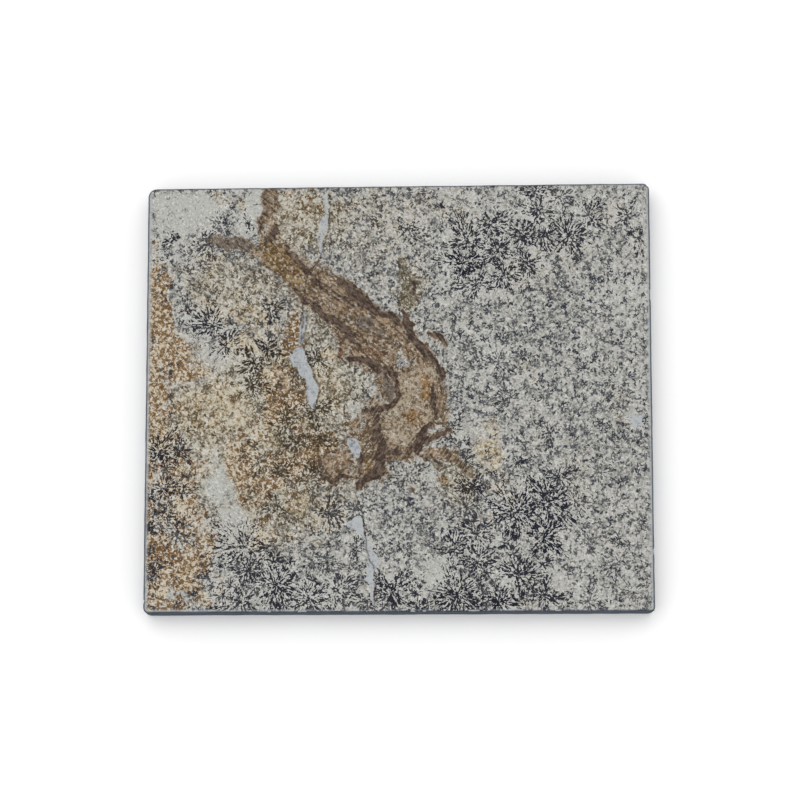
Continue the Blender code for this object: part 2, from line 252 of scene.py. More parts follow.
# Soft-edged patches in and around the fish: (x, y, half length, half width, amount,
# and the turn in degrees if there is one).
SKULL_STAINS = (
    (8.1, 2.2, 4.2, 1.9, 0.95, 100), (8.6, -1.8, 2.6, 0.8, 0.8, 85), (3.2, -7.2, 2.8, 1.8, 0.85, -40),
    (6.8, -8.4, 1.8, 1.2, 0.5, 50), (6.8, 6.8, 1.8, 0.9, 0.6, 20), (4.6, -5.4, 3.2, 1.8, 0.7, -30),
)
# Where the brown film spreads past the outlines.
FILM_PLACES = (
    (-11.5, -14.0, 6.0, 6.5, 0.8), (-18.5, -20.4, 5.6, 5.0, 1.0), (-16.0, 14.0, 4.0, 2.4, 0.7),
    (12.4, -3.0, 2.6, 5.0, 0.75), (12.0, 6.5, 2.0, 3.2, 0.55), (16.0, -17.5, 4.0, 3.2, 0.5),
    (-24.5, 38.5, 5.0, 3.0, 0.6), (-30.0, 29.5, 3.0, 3.5, 0.5), (-7.0, -3.5, 5.0, 3.6, 0.7),
    (11.4, 17.4, 3.4, 2.0, 0.8, -40), (-4.0, -8.0, 4.0, 4.0, 0.8), (11.0, -17.2, 5.0, 2.0, 0.9, -12),
    (4.0, -27.8, 1.6, 1.4, 0.5), (-38.6, 52.4, 8.0, 2.8, 0.66, 95), (-37.6, 48.2, 2.6, 3.2, 0.95),
    (-49.4, 46.0, 8.8, 2.2, 0.66, -10), (-43.0, 44.0, 3.6, 2.8, 0.8, -25),
    (-3.8, 2.6, 5.6, 3.2, 1.0, 100), (-9.4, 8.6, 5.0, 1.8, 0.8, -20), (-8.8, -9.0, 4.2, 5.0, 0.9),
    (-7.6, -20.4, 4.4, 6.4, 1.0, -15), (1.4, -17.6, 5.0, 1.8, 0.9), (-12.6, -8.4, 3.0, 2.6, 0.8),
)
# Places inside the fish where the bare stone shows.
BARE_PLACES = (
    (0.4, 12.6, 1.0, 2.2, 0.6, 20), (1.2, 10.0, 2.6, 1.3, 0.7, 15), (-0.8, 15.4, 1.3, 1.2, 0.5),
    (10.8, -9.9, 2.6, 0.7, 0.9, 15), (-10.3, -8.6, 0.5, 1.4, 0.8), (-34.2, 48.0, 1.6, 0.4, 0.7, -62),
    (7.4, 17.2, 1.2, 1.0, 0.8), (10.8, 16.0, 1.0, 0.8, 0.7), (-18.4, -13.6, 1.2, 0.7, 0.8, 60),
    (8.4, -15.8, 1.6, 0.5, 0.9, -20),
)
# Smooth grey-brown places: the breast, and worn places in the middle of the body.
GREY_PLACES = (
    (-3.2, 2.4, 4.6, 2.0, 1.0, 100), (-9.8, 22.2, 3.3, 2.5, 1.0, -20), (-6.2, 18.6, 2.0, 1.2, 1.0, -30),
    (12.0, -3.8, 3.2, 1.5, 0.45, 95), (-49.2, 45.8, 8.0, 2.1, 0.85, -10),
    (-17.4, 24.4, 2.4, 0.9, 0.5, -35), (-2.2, 17.4, 1.2, 0.8, 0.5),
)
# Light brown places, and red-brown ones.
TAN_PLACES = (
    (-11.4, 25.2, 3.0, 0.8, 0.9, -15), (-2.6, 20.2, 3.0, 1.2, 0.6, -40),
    (0.6, 17.0, 2.2, 0.6, 1.0, -65), (-15.0, 25.4, 2.6, 1.0, 0.7, -35),
    (-17.6, 29.2, 2.8, 0.9, 0.5, -35), (-13.6, 20.8, 2.0, 0.9, 0.8, -40),
    (-20.6, 34.8, 2.8, 1.5, 0.8, -35), (-20.4, 27.8, 3.4, 0.9, 0.6, -35),
    (-37.4, 53.6, 2.2, 1.6, 0.75, 80), (-43.6, 43.6, 3.0, 1.2, 0.8, -25),
    (-18.6, -19.6, 4.4, 2.4, 0.9, 35), (10.6, -17.0, 4.4, 1.5, 0.9, -12), (-13.0, -7.6, 2.4, 1.8, 0.7),
    (-9.0, 16.8, 1.4, 0.9, 0.9, 20), (-33.8, 4.5, 6.0, 2.8, 0.75, 80), (12.4, 17.2, 1.4, 0.6, 0.8, -35),
    (-28.6, 33.0, 2.4, 0.7, 0.6, -40), (-24.4, 31.0, 2.2, 0.6, 0.6, -35),
    (4.4, 16.0, 1.2, 0.8, 0.6, -50), (-4.6, -8.6, 1.0, 0.5, 0.6, 40), (2.6, -19.2, 2.6, 0.8, 0.7, -10),
)
RUSSET_PLACES = (
    (-8.0, 13.4, 4.2, 2.0, 0.9, -20), (-17.2, 13.4, 2.8, 1.4, 0.95, 95), (2.4, 14.4, 2.2, 1.1, 0.8, 10),
    (-18.4, -16.2, 2.0, 1.0, 0.8, 20), (-21.6, -20.6, 2.4, 0.7, 0.5, 40),
    (-27.6, 28.2, 2.0, 1.0, 0.5, -30), (-31.8, 37.8, 3.0, 1.4, 0.6, -40),
    (7.0, 15.6, 1.4, 0.7, 0.5, -50), (-13.2, 13.8, 1.6, 1.2, 0.6),
)
# Olive places, and golden ones.
FIN_PLACES = (
    (-49.0, 45.7, 9.0, 2.3, 1.0, -10), (20.2, -23.6, 6.0, 2.6, 0.4, -60),
    (11.2, -21.2, 3.2, 1.0, 0.8, -35),
)
GOLD_PLACES = (
    (-4.6, 22.2, 2.6, 1.2, 0.55, -35), (-9.0, -21.2, 2.8, 1.0, 0.95, 80),
    (-16.4, -22.4, 2.4, 0.8, 0.5, 20), (13.2, -25.5, 1.6, 1.5, 0.75, 30),
)

# Flakes broken out beside the crack: (depth, how fresh, outline).
FLAKES = (
    (0.15, 0.56, (
        (-23.2, 61.0), (-21.6, 61.0), (-20.9, 56.5), (-20.8, 53.0), (-21.8, 49.0), (-22.8, 45.6),
        (-22.4, 41.6), (-23.6, 41.4), (-24.4, 45.4), (-24.9, 48.4), (-23.9, 52.0), (-22.4, 54.6),
        (-22.4, 57.5))),
    (0.25, 0.80, (
        (-27.6, 24.6), (-28.0, 20.4), (-28.4, 15.2), (-29.8, 15.2), (-29.5, 20.4), (-28.8, 24.6))),
    (0.40, 1.0, (
        (-31.1, 14.1), (-28.4, 14.5), (-27.8, 13.0), (-27.2, 10.5), (-26.7, 9.2), (-25.9, 8.7),
        (-25.8, 6.4), (-25.1, 4.8), (-24.1, 3.4), (-23.9, 0.8), (-24.4, -0.1), (-24.9, -1.6),
        (-25.0, -3.9), (-26.0, -4.1), (-26.6, -1.8), (-27.3, 0.6), (-27.1, 3.4), (-27.9, 5.2),
        (-28.9, 5.3), (-29.8, 6.6), (-30.5, 8.4), (-31.8, 9.9), (-32.8, 11.4), (-32.8, 12.3),
        (-31.3, 12.7))),
    (0.30, 0.85, (
        (-15.8, -12.9), (-12.6, -12.5), (-11.7, -13.8), (-11.0, -16.8), (-11.8, -19.0), (-13.1, -18.3),
        (-14.8, -15.7))),
    (0.05, 0.70, (
        (67.6, -6.0), (69.4, -5.0), (70.2, -6.0), (72.8, -5.4), (72.0, -7.6), (73.2, -9.2),
        (70.8, -8.8), (69.6, -10.6), (68.6, -8.4))),
    (0.20, 0.75, (
        (-15.9, -38.0), (-11.8, -35.6), (-10.3, -36.5), (-10.0, -41.3), (-8.0, -45.4), (-5.6, -48.1),
        (-5.6, -49.8), (-7.1, -52.5), (-7.4, -56.9), (-6.6, -62.6), (-7.9, -62.6), (-8.8, -56.6),
        (-10.0, -54.5), (-9.0, -50.1), (-9.4, -47.5), (-10.6, -42.7), (-12.4, -39.8), (-14.7, -39.5))),
)
# The paths of the crack: (x, y, half width).
CRACKS = (
    ((-20.8, 61.0, 0.3), (-21.0, 50.8, 0.3), (-23.9, 40.8, 0.3), (-27.2, 36.5, 0.3), (-28.4, 28.0, 0.3),
     (-28.9, 15.3, 0.3)),
    ((-28.2, 15.4, 0.25), (-27.4, 12.2, 0.3), (-26.3, 9.4, 0.35), (-25.5, 7.6, 0.35), (-25.2, 5.6, 0.3),
     (-23.8, 3.4, 0.3), (-23.6, 0.6, 0.25), (-25.0, -2.4, 0.3), (-24.6, -4.4, 0.25),
     (-19.3, -10.3, 0.25), (-13.9, -13.3, 0.25)),
    ((-12.6, -21.0, 0.25), (-12.4, -30.3, 0.25), (-10.3, -36.2, 0.3), (-9.4, -46.5, 0.3),
     (-7.1, -52.5, 0.3), (-7.2, -62.6, 0.3)),
)

# Soft-edged patches of stain: (x, y, half width, half height, amount).
RUST = (
    (-72.5, 17, 5.5, 28.5, 0.95), (-74, -34, 3.5, 26, 0.9), (-63.5, 10.5, 6, 6.5, 1.0),
    (-58, -58.5, 4, 4, 0.7), (-66, -62, 5, 2.5, 0.8), (-72.5, -58, 3, 6, 0.7), (-74, -14, 2.5, 6, 0.8),
    (-64, -17, 4, 3, 0.6), (-31, 0, 3, 4, 0.9), (-67, 14.5, 6.5, 6, 0.6), (-69.5, -7.5, 5, 10.5, 0.8),
    (-62.5, -3, 9, 3, 0.45), (-68.5, -49, 6, 9.5, 0.95), (-62, -52, 6.5, 7.5, 1.0),
    (-70.5, -60.5, 3.5, 5, 0.7), (-59, -44.5, 5, 6, 0.7), (-63, -34, 6.5, 8, 0.75),
    (-65.5, -23.5, 8, 6, 0.7), (-57.5, -17.5, 3.0, 4, 0.3), (-47.5, -22, 5, 6.5, 0.85),
    (-43, -28, 8.5, 6.5, 0.7), (-34.5, -22, 9.5, 8, 0.7), (-34, -4.5, 7, 6.5, 0.7),
    (-36, 4.5, 5.5, 6.5, 1.0), (-37, -5, 5, 5, 1.0), (-30.8, 19, 3.4, 7, 1.0), (-21, -13, 4, 3.5, 0.7),
    (-29, -31, 5, 4, 0.4), (-25, -18, 6.5, 7, 0.9), (-20.5, -24, 8, 4, 0.7), (-44, -13.5, 3, 9, 0.6),
    (-38.5, -38.5, 7, 4, 0.5), (-72, 46, 3.5, 2.5, 0.5), (-54, 59.5, 3.5, 3, 0.4),
    (-49, 59.5, 1.5, 4, 0.6), (-28.5, 58, 7, 6, 0.4), (-44, -60.5, 2.5, 2.5, 0.3),
    (-52.5, -58, 5.5, 5, 0.35), (-16.5, -9, 5, 4, 0.5), (-28, -11, 7, 7, 0.6),
)
OCHRE = (
    (-55, -4.5, 15, 11.5, 0.7), (-67.5, 39.5, 5.5, 8, 0.2), (-20.5, 12.5, 4, 3, 0.75),
    (-48, 17, 6, 4, 0.7), (-40, 22, 5, 4, 0.6), (6, 56, 16, 6, 0.3), (-34, 12, 4, 6, 0.7),
    (-22, -33, 8, 4, 0.45), (-25, -45, 8, 3, 0.3), (30, -24, 4, 6, 0.4), (-46.5, 25.5, 5, 3.5, 0.7),
    (-41, -12, 5.5, 5, 0.6), (-29.5, -32.5, 4, 3.5, 0.7), (-21, 3, 8, 9, 0.55),
    (26.5, -16, 5.5, 8.5, 0.75), (30.5, -29, 3.5, 3.5, 0.5), (-40.5, -43, 3, 3, 0.8),
    (-1.5, 52, 4, 6.5, 0.3), (13.5, 59.5, 10, 4, 0.3), (-20.5, -37, 8, 6, 0.45),
    (52.5, 42.5, 6.5, 6, 0.25), (22, -37, 6.5, 4, 0.25), (-30, 55, 12, 8.5, 0.4),
    (-16.5, 58, 6.5, 4, 0.4), (-51, 32, 15, 12, 0.4), (62, -43, 6.5, 6, 0.2), (13, -25, 1.5, 1.5, 0.5),
    (-38.5, 14, 9, 9, 0.4),
)
# Clean stone, with few specks and dendrites.
CLEAN = (
    (-68.5, 55.5, 8, 6.5, 1.0), (-60.5, 56.5, 6, 5.5, 0.85), (-47, 52, 3, 3, 0.6),
    (-44, 58.5, 3.5, 5.5, 1.0), (-56, 12, 7, 3.5, 0.6), (-52.5, -27.5, 4.5, 9.5, 0.75),
    (-48.5, -37, 5, 6.5, 0.75), (-55.5, -20, 2.5, 4, 0.6), (-45.5, -44.5, 2.5, 3.5, 0.5),
    (24, -11.5, 5.5, 5, 0.55), (70.5, -7.5, 3, 2.5, 1.0), (69, 20.5, 3.5, 1.8, 0.6),
    (9, -23, 3.5, 5.5, 0.85), (9.5, -50.5, 6, 8, 0.6), (1.5, -23, 4, 3, 0.5), (41.5, -3, 4, 3, 0.5),
    (58, -12, 3.5, 3.5, 0.4), (73.5, 44, 2, 18, 0.5), (62.5, 29, 8, 6, 0.3), (-17.5, -45.5, 4, 3, 0.4),
    (-32.5, 52, 4, 3, 0.5), (-71.5, 29, 2, 3, 0.3), (-59.5, 4.5, 4, 2.5, 0.4),
    (11, -15.5, 1.5, 1.5, 0.8), (-14, -4.5, 3.5, 3, 0.5), (-8, 2.5, 1.2, 3, 0.6),
)
# Where the fine dendrites are brown and not blue-black.
OLIVE = (
    (-40, -12, 32, 36, 0.9), (-28, 52, 14, 12, 0.9), (-8, 50, 22, 16, 0.55), (-46, 34, 24, 14, 0.65),
    (-26, 20, 12, 14, 0.7), (-20, 5, 12, 16, 0.8), (16, -26, 10, 9, 0.7), (3, 32, 6, 10, 0.8),
    (-7, 32, 11, 8, 0.4), (3, -23.5, 12, 5, 0.5),
)
# How thick the fine dendrites grow, where it differs from the rest of the face.
THICK = (
    (-34, -57, 26, 9, 1.0), (32, -52, 17, 14, 1.0), (40, -32, 14, 10, 1.0), (0, -58, 12, 7, 1.0),
    (-36, -20, 12, 12, 0.95), (40, 46, 32, 14, 0.35), (-38, 14, 10, 20, 0.7), (-68, -30, 8, 16, 0.7),
    (-50, 30, 16, 9, 0.5),
)
# Where the stone's dark specks crowd together, and where they thin out.
DENSE = (
    (-50, 40, 6, 4, 0.8), (-43, 35, 4, 3, 0.6), (-33, 32, 4, 2.5, 0.6), (-38, 14, 5, 3, 0.8),
    (-28, 15, 5, 5, 0.8), (-36, -2.5, 4, 4, 0.9), (-29, -9, 4, 6, 1.0), (-24, -3, 3, 2.5, 0.5),
    (-18, -9, 3, 2, 0.9), (-30, -20, 5, 3, 1.0), (-62, -17, 4, 3, 0.8), (-70, -33, 3, 3, 0.6),
    (0, -20, 5, 2, 1.0), (3, -24, 4, 4, 0.8), (-6, -29, 3, 2.5, 0.7), (-20, -30, 6, 5, 1.0),
    (-31, -36, 4, 3, 0.9), (-15, -45, 3, 4, 1.0), (-25, -53, 4, 3, 1.0), (-3, -52, 2.5, 2, 0.6),
    (-35, -47, 4, 2.5, 1.0), (16, -46, 4, 4, 0.5), (10, -50, 4, 3, 0.4), (20, -18, 4, 3, 0.8),
    (19, -10, 2.5, 2, 0.8), (22, -30, 3, 6, 1.0), (22, -37, 4, 2.5, 0.8), (17, 23, 3, 2.5, 0.8),
    (18, 43, 2, 3, 0.9), (20, 10, 2.5, 2.5, 0.7), (14, 3, 2, 3, 0.6), (38, 1, 2.5, 3, 0.7),
    (50, 30, 5, 4, 0.5), (60, 10, 3, 3, 0.6), (61, 54, 3, 3, 0.5), (37, -46, 2.5, 3, 1.0),
    (-22, 46, 3, 3, 0.6), (56, -14, 8, 4, 0.5), (50, -24, 5, 4, 0.7), (30, 18, 12, 8, 0.2),
    (32, -5, 6, 5, 0.4), (5, -38, 5, 4, 0.6), (-8, 35, 3, 3, 0.5), (49, -50, 3, 5, 0.5),
    (66, -5, 4, 3, 0.4), (58, -32, 3, 3, 0.7), (38, -23, 2, 3, 0.8), (-61, 33, 3, 2.5, 0.8),
    (-54, 14, 3, 3, 0.7), (-30, 58, 2.5, 4, 0.7), (-10, -61, 3, 3, 0.7), (1, -61, 3, 3, 0.9),
    (20, 38, 3, 2, 0.6), (33, -56, 2, 2, 0.8), (0, -40, 3, 8, 0.3), (27, 55, 2.5, 2.5, 0.8),
    (20, 43, 2.5, 2.5, 0.7), (31, 48, 3, 2.5, 0.6), (50, 38, 3, 3, 0.7), (-50, 56, 2.5, 6, 0.8),
    (-43, 53, 2.5, 2, 0.8), (-30, 1.5, 2.5, 3, 0.8), (-34.5, 15.5, 4, 5, 1.0), (-45, 20, 5, 2, 0.5),
    (-70, -47, 4, 4, 0.9), (-43, -62, 3, 3, 0.7), (-22, -46, 3, 3, 0.8), (37, -44, 2.5, 3, 0.8),
    (60, -44, 2.5, 3, 0.6), (45, -56, 4, 2.5, 0.5), (9, -62, 3, 2, 0.8), (38, -62, 3, 2, 0.8),
    (7, -21, 4, 2, 0.8), (13, -22, 3, 2, 0.8), (16, -15, 2, 3, 0.6), (44, -7, 2.5, 2, 0.6),
    (-44, -8, 3, 2.5, 0.8), (-45, -49, 3, 3, 0.8), (49, -40, 3, 2, 0.5), (3, -28, 3, 2, 0.9),
    (-47, -44, 2, 4, 0.7), (-36, -29, 3, 2, 0.8), (-15, -43, 2, 4, 0.7), (-26, -9, 8, 2, 0.6),
    (27, 38.5, 6, 1.5, 0.6), (-66, -7, 4, 2, 0.7), (-28, 24, 2, 2, 0.6), (-65, -60.5, 5, 2, 0.6),
    (-9.5, -56, 2, 4, 0.6), (-22, -51, 3, 2, 0.6), (-31, -13, 9, 10, 0.9), (-18.5, -49.5, 4, 7, 0.6),
    (11.5, -46, 4, 3.5, 0.8), (64, -24, 4, 4, 0.6), (15, -16, 6, 3, 0.4),
)
SPARSE = (
    (-62, 25, 4, 4, 0.8), (-45, 29, 3, 3, 0.6), (-40, 26, 3, 3, 0.7), (-60, 42, 2, 4, 0.5),
    (-73, 20, 3, 28, 0.3), (-48, 14, 3, 2.5, 1.0), (-58, 8, 6, 3, 0.3), (-46, -16, 4, 3, 0.7),
    (-58, -22, 3, 3, 0.6), (-52, -6, 7, 5, 0.6), (-22, -13, 3, 2.5, 0.7), (-37, -33, 2.5, 2, 0.8),
    (-53, -45, 4, 5, 0.8), (-41, -44, 2.5, 2, 1.0), (-54, -58, 5, 4, 0.9), (-38, -57, 5, 3, 0.8),
    (3, 49, 4.5, 4, 0.8), (17, 53, 4, 3, 0.7), (14, 41, 2.5, 3, 1.0), (13, 30, 3, 5, 0.9),
    (39, 56, 4, 3, 1.0), (64, 56, 3, 3, 1.0), (58, 47, 4, 3, 0.6), (26, 33, 7, 3, 0.7),
    (62, 29, 4, 4, 0.9), (52, 36, 2, 3, 0.5), (32, 2, 2, 3, 0.4), (28, 14, 4, 4, 0.6),
    (30, -31, 2.5, 4, 1.0), (34, -20, 3, 6, 0.6), (54, -34, 4, 4, 0.5), (65, -32, 3, 2, 0.8),
    (29, -59, 4, 2, 1.0), (34, -52, 3, 2, 0.8), (68, -59, 4, 3, 0.4), (-17, 31, 3, 6, 0.6),
    (-19, -58, 3, 2.5, 0.6), (-54, 58, 7, 4, 0.7), (-62, -59, 3, 3, 0.5), (-6, -54, 2, 3, 0.6),
    (20, -44, 6, 4, 0.3), (55, 12, 2, 2, 0.6), (65, 15, 3, 3, 0.4), (10, -26, 4, 4, 0.4),
    (25, 43, 3, 2.5, 1.0), (57, 54, 3, 5, 0.9), (66, 56, 2.5, 3, 0.9), (42, 60, 5, 2, 0.8),
    (14, 20, 3, 2, 0.7), (-33, -9, 5, 3, 0.8), (-36, -33, 3, 3, 0.9), (-63, -33, 3, 3, 0.8),
    (-54, -42, 3, 5, 0.6), (-68, -59, 4, 3, 0.9), (-27, -57, 4, 3, 0.7), (33, 1, 3, 2, 0.6),
    (30, -52, 5, 2.5, 0.7), (55, -48, 6, 3, 0.5), (50, -25, 4, 3, 0.2), (1, 50, 3, 3, 0.8),
    (-35.5, 5.5, 3, 4, 0.7), (-61, 24, 3, 4, 0.5), (-40, -44, 2.5, 2, 0.6), (25, 32, 5, 2, 0.6),
    (-59, 39, 3, 3, 0.8), (-72, 50, 2, 8, 0.5), (-30, 47, 2, 6, 0.5), (4, 51.5, 4, 4, 1.0),
    (11.5, 43.5, 4, 4, 0.5), (19, 59, 4, 3.5, 0.7), (67.5, 31, 7.5, 8, 0.9), (-33.5, 59, 3, 3, 0.7),
    (49, -46, 4, 3, 0.5), (34, -54, 4, 3, 0.5), (-41, -11.5, 4, 5, 0.9),
)

# Single dendrites: (x, y, reach, strength).
BUSHES = (
    (-66.5, 48, 3, 0.9), (-53.3, 53.0, 3.6, 0.6), (-56.5, 46, 4, 0.8), (-44.5, 52.5, 2.5, 0.9),
    (-40, 58, 3, 0.7), (21, 47, 6.5, 0.9), (19.5, 40.5, 6, 1), (23.5, 34, 5, 0.9),
    (27.5, 52, 5.5, 0.88), (30, 44, 5.5, 0.9), (31.5, 37.5, 5.5, 0.9), (38, 48.5, 5.5, 0.9),
    (42, 56.5, 6, 0.88), (43.5, 48.5, 5, 0.9), (38.5, 40.5, 5, 0.9), (51, 48.5, 6.5, 0.88),
    (57, 55, 5, 0.7), (68.5, 55, 4, 0.8), (72, 48, 4, 0.8), (41, 62, 4, 0.9), (48.5, 60.5, 3.5, 0.7),
    (-55, 21.5, 6, 0.9), (-51, 15.5, 5.5, 0.9), (-42.5, 10.5, 5.5, 1.0), (-43, 3, 5, 0.9),
    (-41, -2, 3.5, 0.6), (-70, -17, 6, 0.95), (-73.5, -20.5, 3.5, 0.8), (-68, -27.5, 6, 0.9),
    (-68.5, -34, 5, 0.8), (-64.5, -40, 5.5, 0.7), (-71.5, -51.5, 4, 0.8), (-45, -44.5, 6.5, 0.92),
    (-44, -51.5, 6, 0.88), (-35.5, -55.5, 8.5, 0.92), (-46, -60.5, 6.5, 0.88), (-26, -59.5, 8, 0.88),
    (-17.5, -57, 6, 0.85), (-20.5, -49, 5, 0.6), (-12, -44.5, 4, 0.8), (-12.5, -33.5, 4, 0.7),
    (-1.5, -58, 7, 0.93), (6, -62.5, 5, 0.9), (17.5, -58, 8, 0.95), (23.5, -49, 8, 0.9),
    (35.5, -52.5, 8.5, 0.93), (29.5, -60.5, 6.5, 1), (43, -58.5, 6, 0.9), (35.5, -34, 8.5, 0.95),
    (44.5, -31, 8, 0.95), (43, -41.5, 7, 1), (23.5, -40.5, 6.5, 0.85), (47.5, -23.5, 5.5, 0.8),
    (52.5, -31, 5, 0.7), (56, -43.5, 4, 0.55), (20.5, -32.5, 5, 0.7), (30, 10.5, 3.5, 0.65),
    (33.5, 0, 4, 0.65), (45, -10.5, 4, 0.75), (38, -13.5, 3.5, 0.6), (21, 15.5, 3, 0.6),
    (55, 9, 3.5, 0.6), (59, -22, 3.5, 0.55), (65, -31, 3.5, 0.5), (16.5, 20, 3, 0.6),
    (15, -9, 3.5, 0.85), (18.5, -13.5, 3, 0.8), (-29.5, -13.5, 4, 0.8), (-34, -22, 5.5, 0.8),
    (-41, -19.5, 4, 0.7), (-26.5, -25, 4, 0.7), (19.5, 59.5, 3.5, 0.4), (65, -49, 4, 0.55),
    (69, -58, 3.5, 0.5), (56, -60.5, 4, 0.6), (-9, -60.5, 4, 0.8), (-57, 47.6, 3.2, 0.95),
    (16.5, -45.5, 5, 0.9), (-38.5, 14.5, 4.5, 1.0), (-64.5, -16, 4, 0.9), (-23.5, 11, 3.6, 0.9),
    (-33, -7, 4, 0.8), (-24.5, -4, 3.5, 0.9), (21.5, -27, 4.5, 0.95), (20, -18.5, 3.5, 0.8),
    (3, -23, 4.5, 0.7), (-20, -34.5, 4.5, 0.8),
)

FISH_PLACES = {"stain": SKULL_STAINS, "grey": GREY_PLACES, "tan": TAN_PLACES,
               "russet": RUSSET_PLACES}
STAINS = {"rust": RUST, "ochre": OCHRE, "clean": CLEAN, "olive": OLIVE}
# The swellings of the body: outline, how dark the film on it is, and how far inside the outline
# the film starts and is full.
SWELLINGS = ((TRUNK, 1.0, -2.2, 2.4), (HEAD, 0.95, -2.0, 2.0), (BELLY_FIN, 0.85, -1.5, 2.0))

# The three tones of a kind of stone: the endings of the setting's name and of its label, and
# what the tone is.
TONES = (("_pale", ", pale", "Pale grains of"), ("", "", "Own tone of"),
         ("_dark", ", dark", "Dark specks of"))
# The kinds of stone: label, what it is, and its three tones as they show under the studio's
# light, from 0 to 255.
KINDS = {
    "stone": ("Limestone", "the bare stone", (191, 190, 186), (166, 165, 158), (122, 121, 118)),
    "warm": ("Warm limestone", "the warm stone", (195, 190, 177), (160, 155, 140), (110, 103, 88)),
    "ochre": ("Ochre", "the yellow wash", (201, 191, 170), (162, 144, 111), (114, 98, 75)),
    "rust": ("Rust", "the iron stain", (203, 191, 168), (132, 105, 74), (107, 83, 58)),
    "clean": ("Clean limestone", "the clean stone", (187, 187, 181), (171, 171, 165),
              (120, 119, 113)),
    "film": ("Body", "the fish's body", (156, 138, 115), (119, 102, 83), (88, 73, 59)),
    "gold": ("Tail root", "the golden parts", (160, 139, 108), (125, 103, 72), (90, 73, 52)),
    "fin": ("Fin", "the olive fins", (150, 142, 124), (121, 113, 96), (86, 80, 66)),
    "tan": ("Light brown", "light places on the body", (178, 160, 137), (148, 127, 104),
            (106, 88, 73)),
    "russet": ("Russet", "red-brown places on the body", (152, 128, 104), (118, 93, 72),
               (84, 65, 53)),
    # The bones' dark tone also paints the shade along the crack.
    "bone": ("Bone", "the dark bones", (110, 95, 83), (88, 74, 65), (64, 53, 47)),
    "grey": ("Breast", "smooth places on the body", (128, 117, 105), (108, 97, 88), (82, 72, 65)),
    "skull": ("Skull plate", "the pale plate of the head", (177, 164, 145), (156, 142, 121),
              (108, 93, 76)),
    "stain": ("Skull stain", "the orange on the head plate", (162, 136, 103), (136, 106, 73),
              (100, 76, 53)),
    "fresh": ("Fresh break", "broken stone in the flakes", (184, 188, 190), (171, 175, 178),
              (132, 136, 140)),
}
# The layers over the stone, from the lowest, that share one form: how ragged their edges are,
# and how much of the mark starts a layer and fills it.
LAYERS = (
    ("rust", 1.1, 0.38, 0.74), ("clean", 0.8, 0.30, 0.75), ("film", 0.9, 0.22, 0.78),
    ("fin", 0.8, 0.25, 0.75), ("gold", 0.6, 0.20, 0.80), ("russet", 0.7, 0.30, 0.80),
    ("tan", 0.6, 0.30, 0.80), ("grey", 0.5, 0.30, 0.70),
)
# What the layers share: the place in millimetres, the same turned, noises from fine to broad,
# and one that flows with the fish.
Noises = namedtuple("Noises", "place turned grain crumb mottle cluster broad flow")


def paint(red, green, blue):
    """A colour as it looks under the studio's light, from its 0 to 255 values."""
    under_light, sheen, darkest = 1.17, 0.018, 0.003
    linear = [((c / 255 + 0.055) / 1.055) ** 2.4 for c in (red, green, blue)]
    return tuple(max(value - sheen, darkest) / under_light for value in linear)


def colour(name, about, value):
    return FloatVectorProperty(name=name, description=about, subtype="COLOR", size=3,
                               min=0.0, max=1.0, default=value)


def length(name, about, value, least=0.0):
    return FloatProperty(name=name, description=about, default=value, min=least,
                         subtype="DISTANCE", unit="LENGTH")


class StoneSettings(bpy.types.PropertyGroup):
    """The slab's mesh and its low relief."""

    spacing: length("Point spacing", "Distance between the points of the fossil face",
                    0.52 * MM, 0.3 * MM)
    grain: length("Grain", "Height of the stone's own unevenness", 0.06 * MM)
    body_rise: length("Body rise", "How far the fish's body stands over the face", 0.32 * MM)
    bone_rise: length("Bone rise", "How far the strongest bones stand over the face", 0.66 * MM)
    crack_depth: length("Crack depth", "Depth of the hairline crack", 0.25 * MM)
    seed: IntProperty(
        name="Seed", description="Chooses how the dendrites grow", default=7, min=0)


class ColourSettings(bpy.types.PropertyGroup):
    """The colours. Each kind of stone also has its pale grains, its own tone and dark specks."""

    fleck: colour("Fleck", "Pale crystals all over the face", paint(216, 215, 208))
    dendrite: colour("Dendrite", "Manganese dendrites", paint(34, 41, 51))
    brown_dendrite: colour("Brown dendrite", "Iron-rich dendrites", paint(64, 56, 46))
    tuft: colour("Tuft", "The smallest manganese tufts", paint(55, 59, 68))
    brown_tuft: colour("Brown tuft", "The smallest iron-rich tufts", paint(90, 76, 57))
    rim: colour("Rim", "The ground rim of the face", paint(178, 182, 184))
    sawn_edge: colour("Sawn edge", "The slab's edges and back", paint(78, 86, 98))
    saw_marks: colour("Saw marks", "Dark lines on the edges", paint(52, 58, 68))


for kind, (label, about, *shown) in KINDS.items():
    for (ending, addition, part), values in zip(TONES, shown):
        ColourSettings.__annotations__[kind + ending] = colour(
            label + addition, f"{part} {about}", paint(*values))


class StudioSettings(bpy.types.PropertyGroup):
    """The floor, the lights and the camera."""

    floor: colour("Floor", "The pale floor", (0.98, 0.98, 0.98))
    tilt: FloatProperty(
        name="Camera tilt", description="Angle between the view and straight down",
        default=math.radians(8.5), subtype="ANGLE", unit="ROTATION")
    distance: length("Camera distance", "From the fossil face", 0.830)
    focal_length: FloatProperty(
        name="Focal length", description="Of the camera, in millimetres", default=126.3)
    key_power: FloatProperty(
        name="Key power", description="Power of the large soft light, in watts", default=11.0)
    surround: FloatProperty(
        name="Surround", description="Strength of the even light from all round", default=0.84)


def smooth_step(low, high, value):
    """A smooth step from 0 at low to 1 at high."""
    share = np.clip((value - low) / (high - low), 0.0, 1.0)
    return share * share * (3.0 - 2.0 * share)


